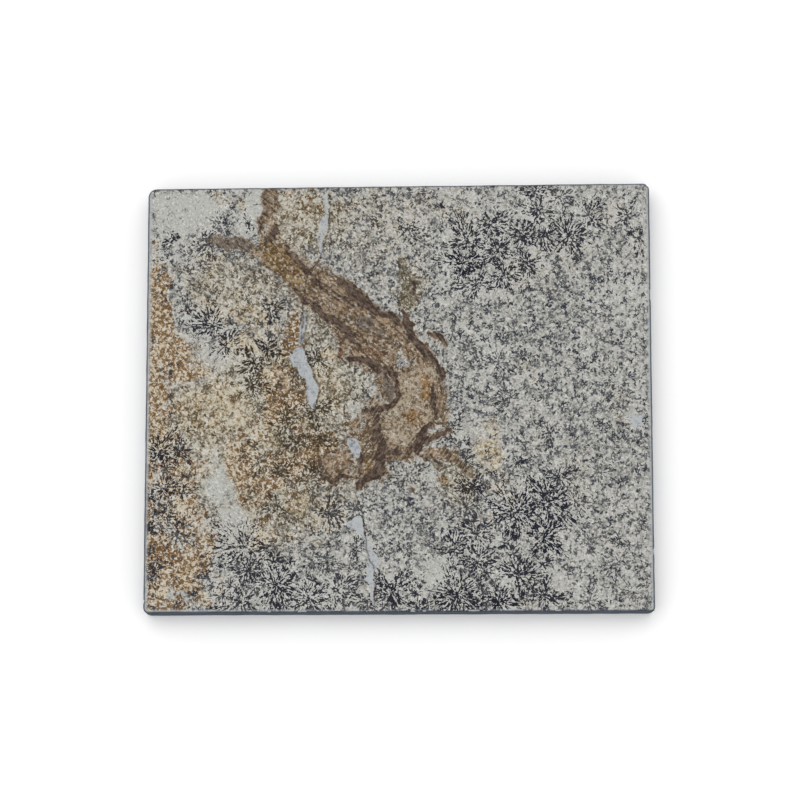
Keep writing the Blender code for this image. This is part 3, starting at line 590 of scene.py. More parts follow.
def cloud(x, y, cell, seed):
    """Smooth random values from 0 to 1, about one swell in each cell."""
    size = CLOUD_CELLS
    values = np.random.default_rng(seed).random((size, size))
    across, up = x / cell + 2 * size, y / cell + 2 * size
    column, row = np.floor(across).astype(int), np.floor(up).astype(int)
    tx, ty = across - column, up - row
    tx, ty = tx * tx * (3 - 2 * tx), ty * ty * (3 - 2 * ty)
    left, right = column % size, (column + 1) % size
    low, high = row % size, (row + 1) % size
    below = values[left, low] * (1 - tx) + values[right, low] * tx
    above = values[left, high] * (1 - tx) + values[right, high] * tx
    return below * (1 - ty) + above * ty


def layered(x, y, layers):
    """Clouds laid over each other."""
    return sum(weight * cloud(x, y, cell, seed) for weight, cell, seed in layers)


def drifted(x, y, drifts):
    """Places pushed about by clouds, so that what is laid there gets a natural edge."""
    for cell, reach, seed in drifts:
        x, y = (x + reach * (2 * cloud(x, y, cell, seed) - 1),
                y + reach * (2 * cloud(x, y, cell, seed + 1) - 1))
    return x, y


def patches(x, y, places):
    """The strongest of a list of soft-edged patches at each point."""
    amount = np.zeros_like(x)
    for middle_x, middle_y, half_length, half_width, strength, *turn in places:
        angle = math.radians(turn[0]) if turn else 0.0
        east, north = x - middle_x, y - middle_y
        run = east * math.cos(angle) + north * math.sin(angle)
        side = north * math.cos(angle) - east * math.sin(angle)
        away = np.hypot(run / half_length, side / half_width)
        amount = np.maximum(amount, strength * smooth_step(PATCH_EDGE, PATCH_CORE, away))
    return amount


def curve_through(points, steps=5):
    """A smooth run of points through the given ones."""
    points = np.array(points, dtype=float)
    padded = np.vstack([2 * points[0] - points[1], points, 2 * points[-1] - points[-2]])
    run = []
    for a, b, c, d in zip(padded, padded[1:], padded[2:], padded[3:]):
        for step in range(steps):
            t = step / steps
            run.append(0.5 * (2 * b + (c - a) * t + (2 * a - 5 * b + 4 * c - d) * t ** 2
                              + (3 * b - a - 3 * c + d) * t ** 3))
    run.append(points[-1])
    return np.array(run)


def beside_line(x, y, start, end):
    """Where each point lies beside a straight line: as a share of the line, and how far away."""
    run_x, run_y = end[0] - start[0], end[1] - start[1]
    east, north = x - start[0], y - start[1]
    share = np.clip((east * run_x + north * run_y) / (run_x ** 2 + run_y ** 2), 0, 1)
    return share, np.hypot(east - run_x * share, north - run_y * share)


def along(x, y, path):
    """Distance from a path in half widths, and the half width there over its widest."""
    line = curve_through(path)
    widest = line[:, 2].max()
    beyond = 9.0
    ratio, girth = np.full_like(x, beyond), np.zeros_like(x)
    reach = 3 * widest
    near = ((x > line[:, 0].min() - reach) & (x < line[:, 0].max() + reach)
            & (y > line[:, 1].min() - reach) & (y < line[:, 1].max() + reach))
    best, best_girth = ratio[near], girth[near]
    for start, end in zip(line, line[1:]):
        share, gap = beside_line(x[near], y[near], start, end)
        width = start[2] + (end[2] - start[2]) * share
        closer = gap / width < best
        best = np.where(closer, gap / width, best)
        best_girth = np.where(closer, width / widest, best_girth)
    ratio[near], girth[near] = best, best_girth
    return ratio, girth


def depth_inside(x, y, outline):
    """Distance to an outline in millimetres, positive inside it."""
    corners = np.array(outline, dtype=float)
    nearest, inside = np.full_like(x, FAR), np.zeros(x.shape, dtype=bool)
    for start, end in zip(corners, np.roll(corners, -1, axis=0)):
        _, gap = beside_line(x, y, start, end)
        nearest = np.minimum(nearest, gap)
        (ax, ay), (bx, by) = start, end
        if by != ay:
            inside ^= ((ay > y) != (by > y)) & (x < (bx - ax) * (y - ay) / (by - ay) + ax)
    return np.where(inside, nearest, -nearest)


def beside_spine(x, y):
    """How far along the spine each point lies, and how far to its left."""
    line = curve_through(SPINE)
    nearest, along_it, across = np.full_like(x, FAR), np.zeros_like(x), np.zeros_like(x)
    travelled = 0.0
    for start, end in zip(line, line[1:]):
        share, gap = beside_line(x, y, start, end)
        run_x, run_y = end - start
        length_here = math.hypot(run_x, run_y)
        side = np.sign(run_x * (y - start[1]) - run_y * (x - start[0]))
        closer = gap < nearest
        nearest = np.where(closer, gap, nearest)
        along_it = np.where(closer, travelled + share * length_here, along_it)
        across = np.where(closer, side * gap, across)
        travelled += length_here
    return along_it, across


def scattered_bushes(seed):
    """More dendrites of every size where they stand thick: (x, y, reach, strength)."""
    dice = np.random.default_rng(seed)
    spots = dice.uniform(-1, 1, (SPOTS, 2)) * (HALF_WIDTH, HALF_DEPTH)
    chance, size = dice.random(SPOTS), dice.random(SPOTS)
    thick = patches(spots[:, 0], spots[:, 1], THICK)
    more = []
    for (x, y), here, luck, share in zip(spots, thick, chance, size):
        if luck < LIKELIEST * here:
            more.append((x, y, LEAST_REACH + MORE_REACH * share * share,
                         LEAST_STRENGTH + MORE_STRENGTH * share))
    return more


def nearest_bush(x, y, bushes):
    """The bush that each point belongs to, as its number."""
    best, owner = np.full_like(x, FAR), np.zeros(len(x), dtype=int)
    for number, (bush_x, bush_y, reach, _) in enumerate(bushes):
        away = np.hypot(x - bush_x, y - bush_y) / reach
        closer = away < best
        best[closer], owner[closer] = away[closer], number
    return owner


def fish_marks(x, y):
    """The marks that the fish leaves on the face, and the relief of its body and its bones."""
    along_it, across = beside_spine(x, y)
    x, y = drifted(x, y, FISH_DRIFTS)
    film, body = patches(x, y, FILM_PLACES), np.zeros_like(x)
    for outline, amount, start, full in SWELLINGS:
        inside = depth_inside(x, y, outline)
        film = np.maximum(film, amount * smooth_step(start, full, inside))
        body = np.maximum(body, smooth_step(-0.8, 1.2, inside))
    bone, gold, rise = np.zeros_like(x), np.zeros_like(x), np.zeros_like(x)
    for part in BONES.values():
        ratio, girth = along(x, y, part.path)
        bone = np.maximum(bone, part.dark * smooth_step(1.7, 0.3, ratio))
        gold = np.maximum(gold, part.gold * smooth_step(1.9, 0.5, ratio))
        film = np.maximum(film, smooth_step(2.0, 0.6, ratio) * (part.dark > 0))
        rise = np.maximum(rise, part.rise * girth * smooth_step(1.3, 0.1, ratio))
    plate = smooth_step(-0.5, 0.6, depth_inside(x, y, SKULL_PLATE))
    olive_fin = smooth_step(-1.0, 1.4, depth_inside(x, y, DORSAL_FIN))
    covered = 1 - patches(x, y, BARE_PLACES)
    marks = {"film": film * covered, "bone": bone * covered, "plate": plate,
             "gold": np.maximum(gold, patches(x, y, GOLD_PLACES)),
             "fin": np.maximum(olive_fin, patches(x, y, FIN_PLACES)),
             "along": along_it, "across": across}
    for name, places in FISH_PLACES.items():
        marks[name] = patches(x, y, places)
    return marks, {"body": body, "rise": rise * (1 - 0.8 * plate)}


def break_marks(x, y):
    """The fresh stone in the flakes and the crack as marks, and how deep the flakes are."""
    x, y = drifted(x, y, BREAK_DRIFTS)
    depth, fresh, crack = np.zeros_like(x), np.zeros_like(x), np.zeros_like(x)
    for flake_depth, freshness, outline in FLAKES:
        inside = depth_inside(x, y, outline)
        fresh = np.maximum(fresh, freshness * smooth_step(-0.15, 0.25, inside))
        depth = np.maximum(depth, flake_depth * smooth_step(-0.1, 0.5, inside))
    # The crack's mark carves its groove and also places the painted shade along it.
    for path in CRACKS:
        ratio, _ = along(x, y, path)
        crack = np.maximum(crack, smooth_step(1.8, 0.4, ratio))
    return {"fresh": fresh, "crack": crack}, depth


def face_marks(x, y):
    """Every mark on the fossil face, with one value for each point, and the face's relief."""
    marks, relief = fish_marks(x, y)
    broken, relief["flakes"] = break_marks(x, y)
    marks.update(broken)
    near_x, near_y = drifted(x, y, SPECK_DRIFTS)
    marks["dense"] = patches(near_x, near_y, DENSE) - patches(near_x, near_y, SPARSE)
    wide_x, wide_y = drifted(x, y, STAIN_DRIFTS)
    for name, places in STAINS.items():
        marks[name] = patches(wide_x, wide_y, places)
    patchy = smooth_step(0.25, 0.75, layered(x, y, PATCHY))
    marks["thick"] = patchy * (0.6 + 0.4 * patches(wide_x, wide_y, THICK))
    marks["halo"] = patches(x, y, [(bush_x, bush_y, reach + HALO, reach + HALO, strength)
                                   for bush_x, bush_y, reach, strength in BUSHES])
    side = np.minimum(HALF_WIDTH - np.abs(x), HALF_DEPTH - np.abs(y) + 0.6)
    marks["rim"] = smooth_step(1.5, 0.7, side + 0.5 * cloud(x, y, 3.0, RIM_SEED) - 0.25)
    return marks, relief


def face_height(x, y, marks, relief, settings):
    """Height over the face in millimetres."""
    height = settings.grain / MM * (layered(x, y, SWELLS) - 1.0)
    swelling = smooth_step(0.0, 1.0, relief["body"]) * (1 - marks["plate"])
    height += settings.body_rise / MM * swelling
    height += (settings.bone_rise / MM - height) * relief["rise"]
    height -= settings.crack_depth / MM * marks["crack"]
    height -= relief["flakes"]
    return height


def rounded_place(u, v, inset):
    """A square's point (u, v) on the slab's rounded plan, and which way is outwards there."""
    on_edge, least_radius = 0.9999, 0.25
    x, y = u * (HALF_WIDTH - inset), v * (HALF_DEPTH - inset)
    out_x = np.where(np.abs(u) > on_edge, np.sign(u), 0.0)
    out_y = np.where(np.abs(v) > on_edge, np.sign(v), 0.0)
    for corner_x, corner_y, corner_radius in CORNERS:
        side_x, side_y = np.sign(corner_x), np.sign(corner_y)
        radius = max(corner_radius - inset, least_radius)
        centre_x, centre_y = HALF_WIDTH - inset - radius, HALF_DEPTH - inset - radius
        from_x, from_y = side_x * x - centre_x, side_y * y - centre_y
        there = (from_x > HAIR) & (from_y > HAIR)
        away = np.hypot(from_x, from_y) + HAIR * MM
        pull = np.maximum(from_x, from_y) / away
        x = np.where(there, side_x * (centre_x + from_x * pull), x)
        y = np.where(there, side_y * (centre_y + from_y * pull), y)
        out_x = np.where(there, side_x * from_x / away, out_x)
        out_y = np.where(there, side_y * from_y / away, out_y)
    return x, y, out_x, out_y


def out_of_square(x, y):
    """Moves a point of the true rectangle to its place in the hand-sawn slab."""
    far_left, near_left, near_right, far_right = [Vector(c[:2]) for c in CORNERS]
    s, t = (x / HALF_WIDTH + 1) / 2, (y / HALF_DEPTH + 1) / 2
    near_x = near_left.x + (near_right.x - near_left.x) * s
    far_x = far_left.x + (far_right.x - far_left.x) * s
    near_y = near_left.y + (near_right.y - near_left.y) * s
    far_y = far_left.y + (far_right.y - far_left.y) * s
    return near_x + (far_x - near_x) * t, near_y + (far_y - near_y) * t


def ring_profile():
    """How far out and how high each ring of the edge stands, from the face to the foot."""
    profile = []
    for step in range(1, ARRIS_RINGS + 1):
        turn = math.pi / 2 * step / ARRIS_RINGS
        profile.append((ARRIS * math.sin(turn), THICKNESS - ARRIS * (1 - math.cos(turn))))
    drop = (THICKNESS - ARRIS - FOOT_CHAMFER) / WALL_RINGS
    for step in range(1, WALL_RINGS + 1):
        profile.append((ARRIS, THICKNESS - ARRIS - drop * step))
    profile.append((ARRIS - FOOT_CHAMFER, 0.0))
    return profile


def read_places(piece):
    places = np.empty(len(piece.data.vertices) * 3)
    piece.data.vertices.foreach_get("co", places)
    return places.reshape(-1, 3)


def write_places(piece, places):
    piece.data.vertices.foreach_set("co", places.ravel())
    piece.data.update()


def grid_numbers(places, columns, rows):
    """The column and the row of each point of a grid over a square of side 2."""
    return (np.rint((places[:, 0] + 1) / 2 * (columns - 1)).astype(int),
            np.rint((places[:, 1] + 1) / 2 * (rows - 1)).astype(int))


def new_grid(name, columns, rows):
    """A grid of triangles over a square of side 2, with its edge run down ring by ring."""
    bpy.ops.object.select_all(action="DESELECT")
    bpy.ops.mesh.primitive_grid_add(x_subdivisions=columns - 1, y_subdivisions=rows - 1, size=2.0,
                                    calc_uvs=False)
    slab = bpy.context.active_object
    slab.name = slab.data.name = name
    places = read_places(slab)
    column, row = grid_numbers(places, columns, rows)
    inner = (column > 0) & (column < columns - 1)
    places[:, 0] += np.where(inner, (row % 2 - 0.5) / (columns - 1), 0.0)
    write_places(slab, places)
    bpy.ops.object.mode_set(mode="EDIT")
    bpy.ops.mesh.select_all(action="SELECT")
    bpy.ops.mesh.quads_convert_to_tris(quad_method="SHORTEST_DIAGONAL")
    bpy.ops.mesh.select_mode(type="EDGE")
    bpy.ops.mesh.select_all(action="DESELECT")
    bpy.ops.mesh.select_non_manifold(use_wire=False, use_multi_face=False,
                                     use_non_contiguous=False, use_verts=False)
    for _ in ring_profile():
        bpy.ops.mesh.extrude_region_move(TRANSFORM_OT_translate={"value": (0.0, 0.0, -1.0)})
    bpy.ops.mesh.edge_face_add()
    bpy.ops.mesh.select_all(action="SELECT")
    bpy.ops.mesh.normals_make_consistent(inside=False)
    bpy.ops.object.mode_set(mode="OBJECT")
    return slab


def edge_wear(x, y, z):
    """How far the sawn edge is worn back at a point, in millimetres, and how fresh it is there."""
    uneven = UNEVENNESS * cloud(x + 3 * z, y + 3 * z, 4.0, WEAR_SEED)
    upper = smooth_step(THICKNESS - 1.8, THICKNESS - 0.2, z)
    crumbs = smooth_step(0.80, 0.95, cloud(x, y, 1.9, WEAR_SEED + 1)) * upper * (y < 0)
    wear, fresh = uneven + CRUMB_DEPTH * crumbs, crumbs
    for nick_x, nick_y, nick_z, half_length, reach in NICKS:
        away = np.sqrt(((x - nick_x) ** 2 + (y - nick_y) ** 2) / half_length ** 2
                       + ((z - nick_z) / NICK_HEIGHT) ** 2)
        hit = smooth_step(1.05, 0.45, away)
        wear, fresh = np.maximum(wear, NICK_DEPTH * reach * hit), np.maximum(fresh, hit)
    return wear, fresh


def keep_marks(piece, marks):
    """Stores each mark on the mesh under its own name."""
    for name, values in marks.items():
        layer = piece.data.attributes.new(name, "FLOAT", "POINT")
        layer.data.foreach_set("value", values.astype(np.float32))


def plant_bushes(piece, seed):
    """Stores on each face its bush's middle, reach and strength, in millimetres."""
    bushes = list(BUSHES) + scattered_bushes(seed)
    middles = np.empty(len(piece.data.polygons) * 3)
    piece.data.polygons.foreach_get("center", middles)
    middles = middles.reshape(-1, 3) / MM
    owner = nearest_bush(middles[:, 0], middles[:, 1], bushes)
    kept = np.array(bushes)[owner]
    layer = piece.data.attributes.new("bush", "FLOAT_VECTOR", "FACE")
    layer.data.foreach_set("vector", kept[:, :3].astype(np.float32).ravel())
    layer = piece.data.attributes.new("bush_strength", "FLOAT", "FACE")
    layer.data.foreach_set("value", kept[:, 3].astype(np.float32))


def shape_slab(slab, columns, rows, settings):
    """Moves the grid's points to the slab's surface and marks them."""
    places = read_places(slab)
    ring = np.rint(-places[:, 2]).astype(int)
    column, row = grid_numbers(places, columns, rows)
    from_edge = np.minimum(np.minimum(column, columns - 1 - column),
                           np.minimum(row, rows - 1 - row))
    on_face, beside = ring == 0, ring > 0
    dice = np.random.default_rng(settings.seed + 1)
    jitter = dice.uniform(-JITTER, JITTER, (len(places), 2))
    jitter *= (on_face & (from_edge > 0))[:, None]
    u = places[:, 0] + jitter[:, 0] * 2 / columns
    v = places[:, 1] + jitter[:, 1] * 2 / rows
    x, y, out_x, out_y = rounded_place(u, v, ARRIS)
    profile = np.array([(0.0, THICKNESS)] + ring_profile())
    out, z = profile[ring, 0], profile[ring, 1]
    x, y = out_of_square(x + out_x * out, y + out_y * out)
    marks, relief = face_marks(x[on_face], y[on_face])
    height = face_height(x[on_face], y[on_face], marks, relief, settings)
    height *= smooth_step(-0.5, FADING_ROWS, from_edge[on_face])
    z[on_face] += np.minimum(height, HIGHEST - THICKNESS)
    wear, fresh = edge_wear(x, y, z)
    x -= np.where(beside, out_x * wear, 0.0)
    y -= np.where(beside, out_y * wear, 0.0)
    z -= np.where(beside & (z > THICKNESS - 1.0), 0.5 * wear, 0.0)
    write_places(slab, np.stack([x, y, z], axis=1) * MM)
    face_point = np.zeros((columns, rows), dtype=int)
    face_point[column[on_face], row[on_face]] = np.arange(np.count_nonzero(on_face))
    above = face_point[column, row]
    marks = {name: values[above] for name, values in marks.items()}
    marks["wall"] = smooth_step(0.2, 1.4, ring.astype(float))
    marks["fresh"] = np.where(beside, fresh, marks["fresh"])
    keep_marks(slab, marks)
    plant_bushes(slab, settings.seed)


class Wire:
    """A node's output that takes part in Python arithmetic."""

    def __init__(self, bench, socket):
        self.bench, self.socket = bench, socket

    def __add__(self, other):
        return self.bench.maths("ADD", self, other)

    def __sub__(self, other):
        return self.bench.maths("SUBTRACT", self, other)

    def __rsub__(self, other):
        return self.bench.maths("SUBTRACT", other, self)

    def __mul__(self, other):
        return self.bench.maths("MULTIPLY", self, other)

    def __truediv__(self, other):
        return self.bench.maths("DIVIDE", self, other)

    __radd__ = __add__
    __rmul__ = __mul__


class Bench:
    """Builds one material's nodes."""

    def __init__(self, name):
        self.material = bpy.data.materials.new(name)
        self.material.use_nodes = True
        self.tree = self.material.node_tree
        self.tree.nodes.clear()

    def node(self, kind, settings=None, inputs=None, output=0):
        """Adds a node, sets it up, feeds its sockets and returns one output as a wire."""
        made = self.tree.nodes.new(kind)
        for key, value in (settings or {}).items():
            setattr(made, key, value)
        for key, value in (inputs or {}).items():
            if isinstance(value, Wire):
                self.tree.links.new(value.socket, made.inputs[key])
            else:
                made.inputs[key].default_value = value
        return Wire(self, made.outputs[output]) if made.outputs else made

    def maths(self, operation, first, second=0.0):
        return self.node("ShaderNodeMath", {"operation": operation}, {0: first, 1: second})

    def vector_maths(self, operation, first, second=(0.0, 0.0, 0.0)):
        return self.node("ShaderNodeVectorMath", {"operation": operation}, {0: first, 1: second})

    def scaled(self, vector, factor):
        return self.node("ShaderNodeVectorMath", {"operation": "SCALE"},
                         {0: vector, "Scale": factor})

    def mark(self, name, output="Fac"):
        """A mark of the mesh, by its name."""
        settings = {"attribute_type": "GEOMETRY", "attribute_name": name}
        return self.node("ShaderNodeAttribute", settings, output=output)

    def step(self, value, low, high):
        """A smooth step from 0 at low to 1 at high."""
        inputs = {"Value": value, "From Min": low, "From Max": high}
        return self.node("ShaderNodeMapRange", {"interpolation_type": "SMOOTHSTEP"}, inputs)

    def blend(self, first, second, share):
        """A colour between two colours."""
        inputs = {0: share, 6: first, 7: second}
        return self.node("ShaderNodeMix", {"data_type": "RGBA"}, inputs, 2)

    def noise(self, place, size, detail=2.0, roughness=0.5, distortion=0.0):
        """Noise whose swells are about the given number of millimetres across."""
        inputs = {"Vector": place, "Scale": 1.0 / size, "Detail": detail,
                  "Roughness": roughness, "Distortion": distortion}
        return self.node("ShaderNodeTexNoise", {}, inputs, "Fac")

    def most(self, first, second):
        return self.maths("MAXIMUM", first, second)

    def parts(self, vector):
        """A vector's three numbers."""
        return [self.node("ShaderNodeSeparateXYZ", {}, {0: vector}, axis) for axis in range(3)]

    def fan(self, east, north, reach, seed, first, arms, solid):
        """Twigs that run out from a middle and fork as they go; above 0.5 there is a twig.

        There are about as many twigs as arms up to the distance first, and twice as many each
        time that the distance doubles. The higher solid is, the fuller the middle is.
        """
        unevenness, bending, slope, drop, core_height = 1.6, 0.55, 0.32, 0.08, 0.2
        offset = self.node("ShaderNodeCombineXYZ", {}, {"X": east, "Y": north})
        offset = self.node("ShaderNodeVectorRotate", {"rotation_type": "Z_AXIS"},
                           {"Vector": offset, "Angle": seed})
        away = self.maths("POWER", east * east + north * north, 0.5)
        heading = self.vector_maths("NORMALIZE", offset)
        forks = self.maths("LOGARITHM", self.most(away, first) / first, 2.0)
        forks = self.maths("FLOOR", forks + (self.noise(offset, 0.9) - 0.5) * unevenness)
        count = self.maths("POWER", 2.0, self.most(forks, 0.0)) * arms
        depth = self.node("ShaderNodeCombineXYZ", {}, {"Z": away * bending + seed})
        twigs = self.noise(self.vector_maths("ADD", self.scaled(heading, count), depth), 1.0,
                           detail=1.0)
        turned = self.node("ShaderNodeCombineXYZ", {}, {"Z": seed * 3.1})
        lobe = self.noise(self.vector_maths("ADD", heading, turned), 1.0, detail=0.0)
        share = away / (reach * (lobe * 2.6 - 0.3))
        edge = self.maths("MINIMUM", (1.0 - share) * slope - drop, solid)
        core = self.step(away, first * 0.9, first * 0.3) * core_height
        return twigs + edge + core

    def tufts(self, place, spacing, reach):
        """Small fans, one in each cell, and a random number from 0 to 1 for each."""
        cells = {"voronoi_dimensions": "2D", "feature": "F1"}
        inputs = {"Vector": place, "Scale": 1.0 / spacing, "Randomness": 1.0}
        centre = self.node("ShaderNodeTexVoronoi", cells, inputs, "Position")
        chance = self.node("ShaderNodeTexVoronoi", cells, inputs, "Color")
        chance = self.node("ShaderNodeSeparateColor", {}, {"Color": chance}, "Red")
        east, north, _ = self.parts(self.vector_maths("SUBTRACT", place, centre))
        fans = self.fan(east, north, reach, chance * 50.0, first=0.4, arms=1.2, solid=0.04)
        return fans, chance


def rgba(value):
    return (value[0], value[1], value[2], 1.0)


def stone_noises(bench):
    """The place on the slab in millimetres, and the noises that the stone's layers share."""
    place = bench.scaled(bench.node("ShaderNodeTexCoord", output="Object"), 1 / MM)
    turned = bench.node("ShaderNodeMapping", {}, {"Vector": place, "Rotation": (0.5, 0.4, 0.6)})
    with_fish = bench.node("ShaderNodeCombineXYZ", {}, {
        "X": bench.mark("along") * 0.30, "Y": bench.mark("across") * 1.3})
    return Noises(
        place=place,
        turned=turned,
        grain=bench.noise(turned, 0.50, roughness=0.6),
        crumb=bench.noise(turned, 1.1, detail=4.0, roughness=0.72, distortion=0.3),
        mottle=bench.noise(turned, 2.6, detail=4.0, roughness=0.66, distortion=0.5),
        cluster=bench.noise(turned, 6.0, detail=3.0, roughness=0.6),
        broad=bench.noise(turned, 16.0),
        flow=bench.noise(with_fish, 1.0, detail=4.0, roughness=0.70, distortion=0.4))


def layer_shares(bench, noises):
    """How much of each kind of stone shows, in the order in which they are laid."""
    crumb = noises.crumb - 0.5
    ragged = (noises.mottle - 0.5) * 1.6 + crumb * 1.2
    warm = bench.most(bench.mark("olive"), bench.step(noises.broad, 0.50, 0.70) * 0.5)
    ochre = bench.most(bench.mark("ochre"), bench.mark("rust") * 0.8)
    shares = {"warm": bench.step(warm + ragged * 0.5, 0.2, 0.9),
              "ochre": bench.step(ochre + ragged * 0.6, 0.15, 0.85)}
    for name, raggedness, low, high in LAYERS:
        shares[name] = bench.step(bench.mark(name) + ragged * raggedness, low, high)
    shares["skull"] = bench.step(bench.mark("plate") + crumb * 1.2, 0.35, 0.65)
    stain = bench.step(bench.mark("stain") + ragged * 0.8, 0.3, 0.8)
    shares["stain"] = stain * shares["skull"]
    streak = bench.mark("bone") * ((noises.flow - 0.5) * 2.0 + crumb * 1.2 + 1.0)
    shares["bone"] = bench.step(streak, 0.30, 0.66)
    shares["fresh"] = bench.step(bench.mark("fresh") + crumb * 0.9, 0.35, 0.60)
    return shares


def speckled_ground(bench, shade, noises, shares):
    """The stone and the fish in their three tones, with pale flecks all over."""
    tones = [shade["stone" + ending] for ending, _, _ in TONES]
    for kind, share in shares.items():
        tones = [bench.blend(tone, shade[kind + ending], share)
                 for tone, (ending, _, _) in zip(tones, TONES)]
    film, fresh = shares["film"], shares["fresh"]
    speckle = noises.crumb + (noises.grain - 0.5) * 0.25
    speckle = speckle + (noises.flow - 0.5) * film * (1.0 - shares["skull"] * 0.8) * 0.9
    cover = (noises.cluster - 0.5) * 0.20 - shares["clean"] * 0.05 + film * 0.03 - fresh * 0.05
    cover = cover - bench.mark("halo") * 0.07 + bench.mark("dense") * 0.07
    speckle = speckle + cover + shares["rust"] * 0.02
    ground = bench.blend(tones[0], tones[1], bench.step(speckle, 0.43, 0.52))
    ground = bench.blend(ground, tones[2], bench.step(speckle, 0.54, 0.61))
    ground = bench.blend(ground, tones[2], bench.step(noises.grain, 0.50, 0.70) * 0.35)
    fleck = bench.noise(noises.turned, 0.75, detail=1.0, distortion=0.6)
    fleck = bench.step(fleck + (noises.mottle - 0.5) * 0.3, 0.59, 0.66)
    smooth = bench.most(film * 0.35, bench.mark("grey") * 0.8)
    fleck = fleck * (1.0 - smooth) * (1.0 - shares["bone"])
    return bench.blend(ground, shade["fleck"], fleck * (1.0 - fresh) * 0.75)


def tuft_share(bench, noises, shares, wobble):
    """Where the smallest dendrites stand: by chance, more often where there is room."""
    room = noises.cluster + bench.mark("thick") * 0.25 + bench.mark("dense") * 0.35
    room = room - shares["film"] * 0.9 - shares["clean"] * 0.7 - shares["skull"] * 0.8
    room = room - shares["fresh"] - bench.mark("halo") * 0.7
    room = room - bench.mark("ochre") * 0.2 - bench.mark("rust") * 0.5
    sizes = []
    for spacing, reach in TUFT_SIZES:
        tuft, chance = bench.tufts(wobble, spacing, reach)
        sizes.append(bench.step(tuft, 0.50, 0.55) * bench.step(room - chance, -0.05, 0.05))
    faint = bench.step(noises.mottle, 0.35, 0.60) * 0.35 + 0.65
    return bench.most(*sizes) * faint


def twig_share(bench, noises, shares, wobble):
    """Where the dendrites' twigs run, out from the middle of each."""
    bush_x, bush_y, reach = bench.parts(bench.mark("bush", "Vector"))
    strength = bench.mark("bush_strength")
    east, north, _ = bench.parts(wobble)
    twigs = bench.fan(east - bush_x, north - bush_y, reach, bush_x * 0.37 + bush_y * 0.73,
                      first=0.8, arms=2.7, solid=0.03)
    twigs = twigs + (strength - 0.8) * 0.12 - bench.mark("clean") * 0.15
    twigs = twigs + bench.mark("dense") * 0.03 + (noises.grain - 0.5) * 0.46
    uncovered = 1.0 - bench.most(shares["film"], shares["skull"]) * 0.8
    opaque = bench.step(strength, 0.3, 1.05) * 0.32 + 0.68
    return bench.step(twigs, 0.500, 0.525) * uncovered * (1.0 - shares["fresh"]) * opaque


def grown_over(bench, shade, noises, shares, ground):
    """The ground under its dendrites, brown near the fish, and bright grains among them."""
    film = shares["film"]
    brown = bench.most(bench.mark("olive") * 0.8, film) + (noises.mottle - 0.5) * 0.8
    brown = bench.step(brown, 0.3, 0.7)
    wander = bench.node("ShaderNodeTexNoise", {},
                        {"Vector": noises.place, "Scale": 1.1, "Detail": 2.0}, "Color")
    wobble = bench.vector_maths("ADD", noises.place, wander)
    for name, cover in (("tuft", tuft_share), ("dendrite", twig_share)):
        growth = bench.blend(shade[name], shade["brown_" + name], brown)
        ground = bench.blend(ground, growth, cover(bench, noises, shares, wobble))
    glint = bench.step(noises.grain, 0.38, 0.30) * (1.0 - film) * (1.0 - shares["fresh"])
    return bench.blend(ground, shade["fleck"], glint * 0.55)


def edged(bench, shade, noises, shares, ground):
    """The ground with its rim, its dark sawn sides and painted shade along its crack."""
    ground = bench.blend(ground, shade["rim"], bench.mark("rim") * 0.8)
    saw_place = bench.node("ShaderNodeMapping", {},
                           {"Vector": noises.place, "Scale": (1.0, 1.0, 7.0)})
    saw = bench.noise(saw_place, 5.0, detail=3.0, roughness=0.6)
    edge = bench.blend(shade["sawn_edge"], shade["saw_marks"], bench.step(saw, 0.4, 0.65) * 0.7)
    ground = bench.blend(ground, edge, bench.mark("wall") * (1 - shares["fresh"]))
    # Painted shade: the crack's groove is darkened with the bones' dark tone, as a shadow inside it.
    crack = bench.step(bench.mark("crack") + (noises.crumb - 0.5) * 0.6, 0.35, 0.9)
    return bench.blend(ground, shade["bone_dark"], crack * 0.6)


def stone_material(colours):
    """Limestone with its stains, its dendrites and the fish, read from the mesh's marks."""
    bench = Bench("limestone")
    shade = {name: rgba(getattr(colours, name)) for name in colours.__annotations__}
    noises = stone_noises(bench)
    shares = layer_shares(bench, noises)
    ground = speckled_ground(bench, shade, noises, shares)
    ground = grown_over(bench, shade, noises, shares, ground)
    ground = edged(bench, shade, noises, shares, ground)
    rough = 0.84 - 0.16 * shares["bone"] - 0.08 * shares["film"]
    relief = noises.grain * 0.5 + noises.crumb + shares["film"] * noises.flow * 0.8
    bump = bench.node("ShaderNodeBump", {},
                      {"Strength": 0.7, "Distance": 0.16 * MM, "Height": relief})
    surface = bench.node("ShaderNodeBsdfPrincipled", {}, {
        "Base Color": ground, "Roughness": rough, "Normal": bump, "Specular IOR Level": 0.25})
    bench.node("ShaderNodeOutputMaterial", {}, {"Surface": surface})
    return bench.material


def floor_material(studio):
    """A plain pale floor, hardly mottled."""
    bench = Bench("studio_floor")
    mottle = bench.noise(bench.node("ShaderNodeTexCoord", output="Object"), 0.5)
    tone = bench.blend(rgba(studio.floor), FLOOR_SHADE, mottle)
    surface = bench.node("ShaderNodeBsdfPrincipled", {}, {"Base Color": tone, "Roughness": 0.9})
    bench.node("ShaderNodeOutputMaterial", {}, {"Surface": surface})
    return bench.material


class FOSSIL_OT_slab(bpy.types.Operator):
    """Makes the limestone slab with the fish in its face"""

    bl_idname = "fossil.slab"
    bl_label = "Limestone slab with fish"

    def execute(self, context):
        settings = context.scene.fossil_stone
        columns = round(2 * HALF_WIDTH * MM / settings.spacing) + 1
        rows = round(2 * HALF_DEPTH * MM / (settings.spacing * math.sqrt(3) / 2)) + 1
        slab = new_grid("limestone_slab", columns, rows)
        shape_slab(slab, columns, rows, settings)
        slab.data.materials.append(stone_material(context.scene.fossil_colours))
        bpy.ops.object.shade_smooth_by_angle(angle=SMOOTH_UP_TO)
        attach(slab, "root")
        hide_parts("fossil_slab")
        return {"FINISHED"}


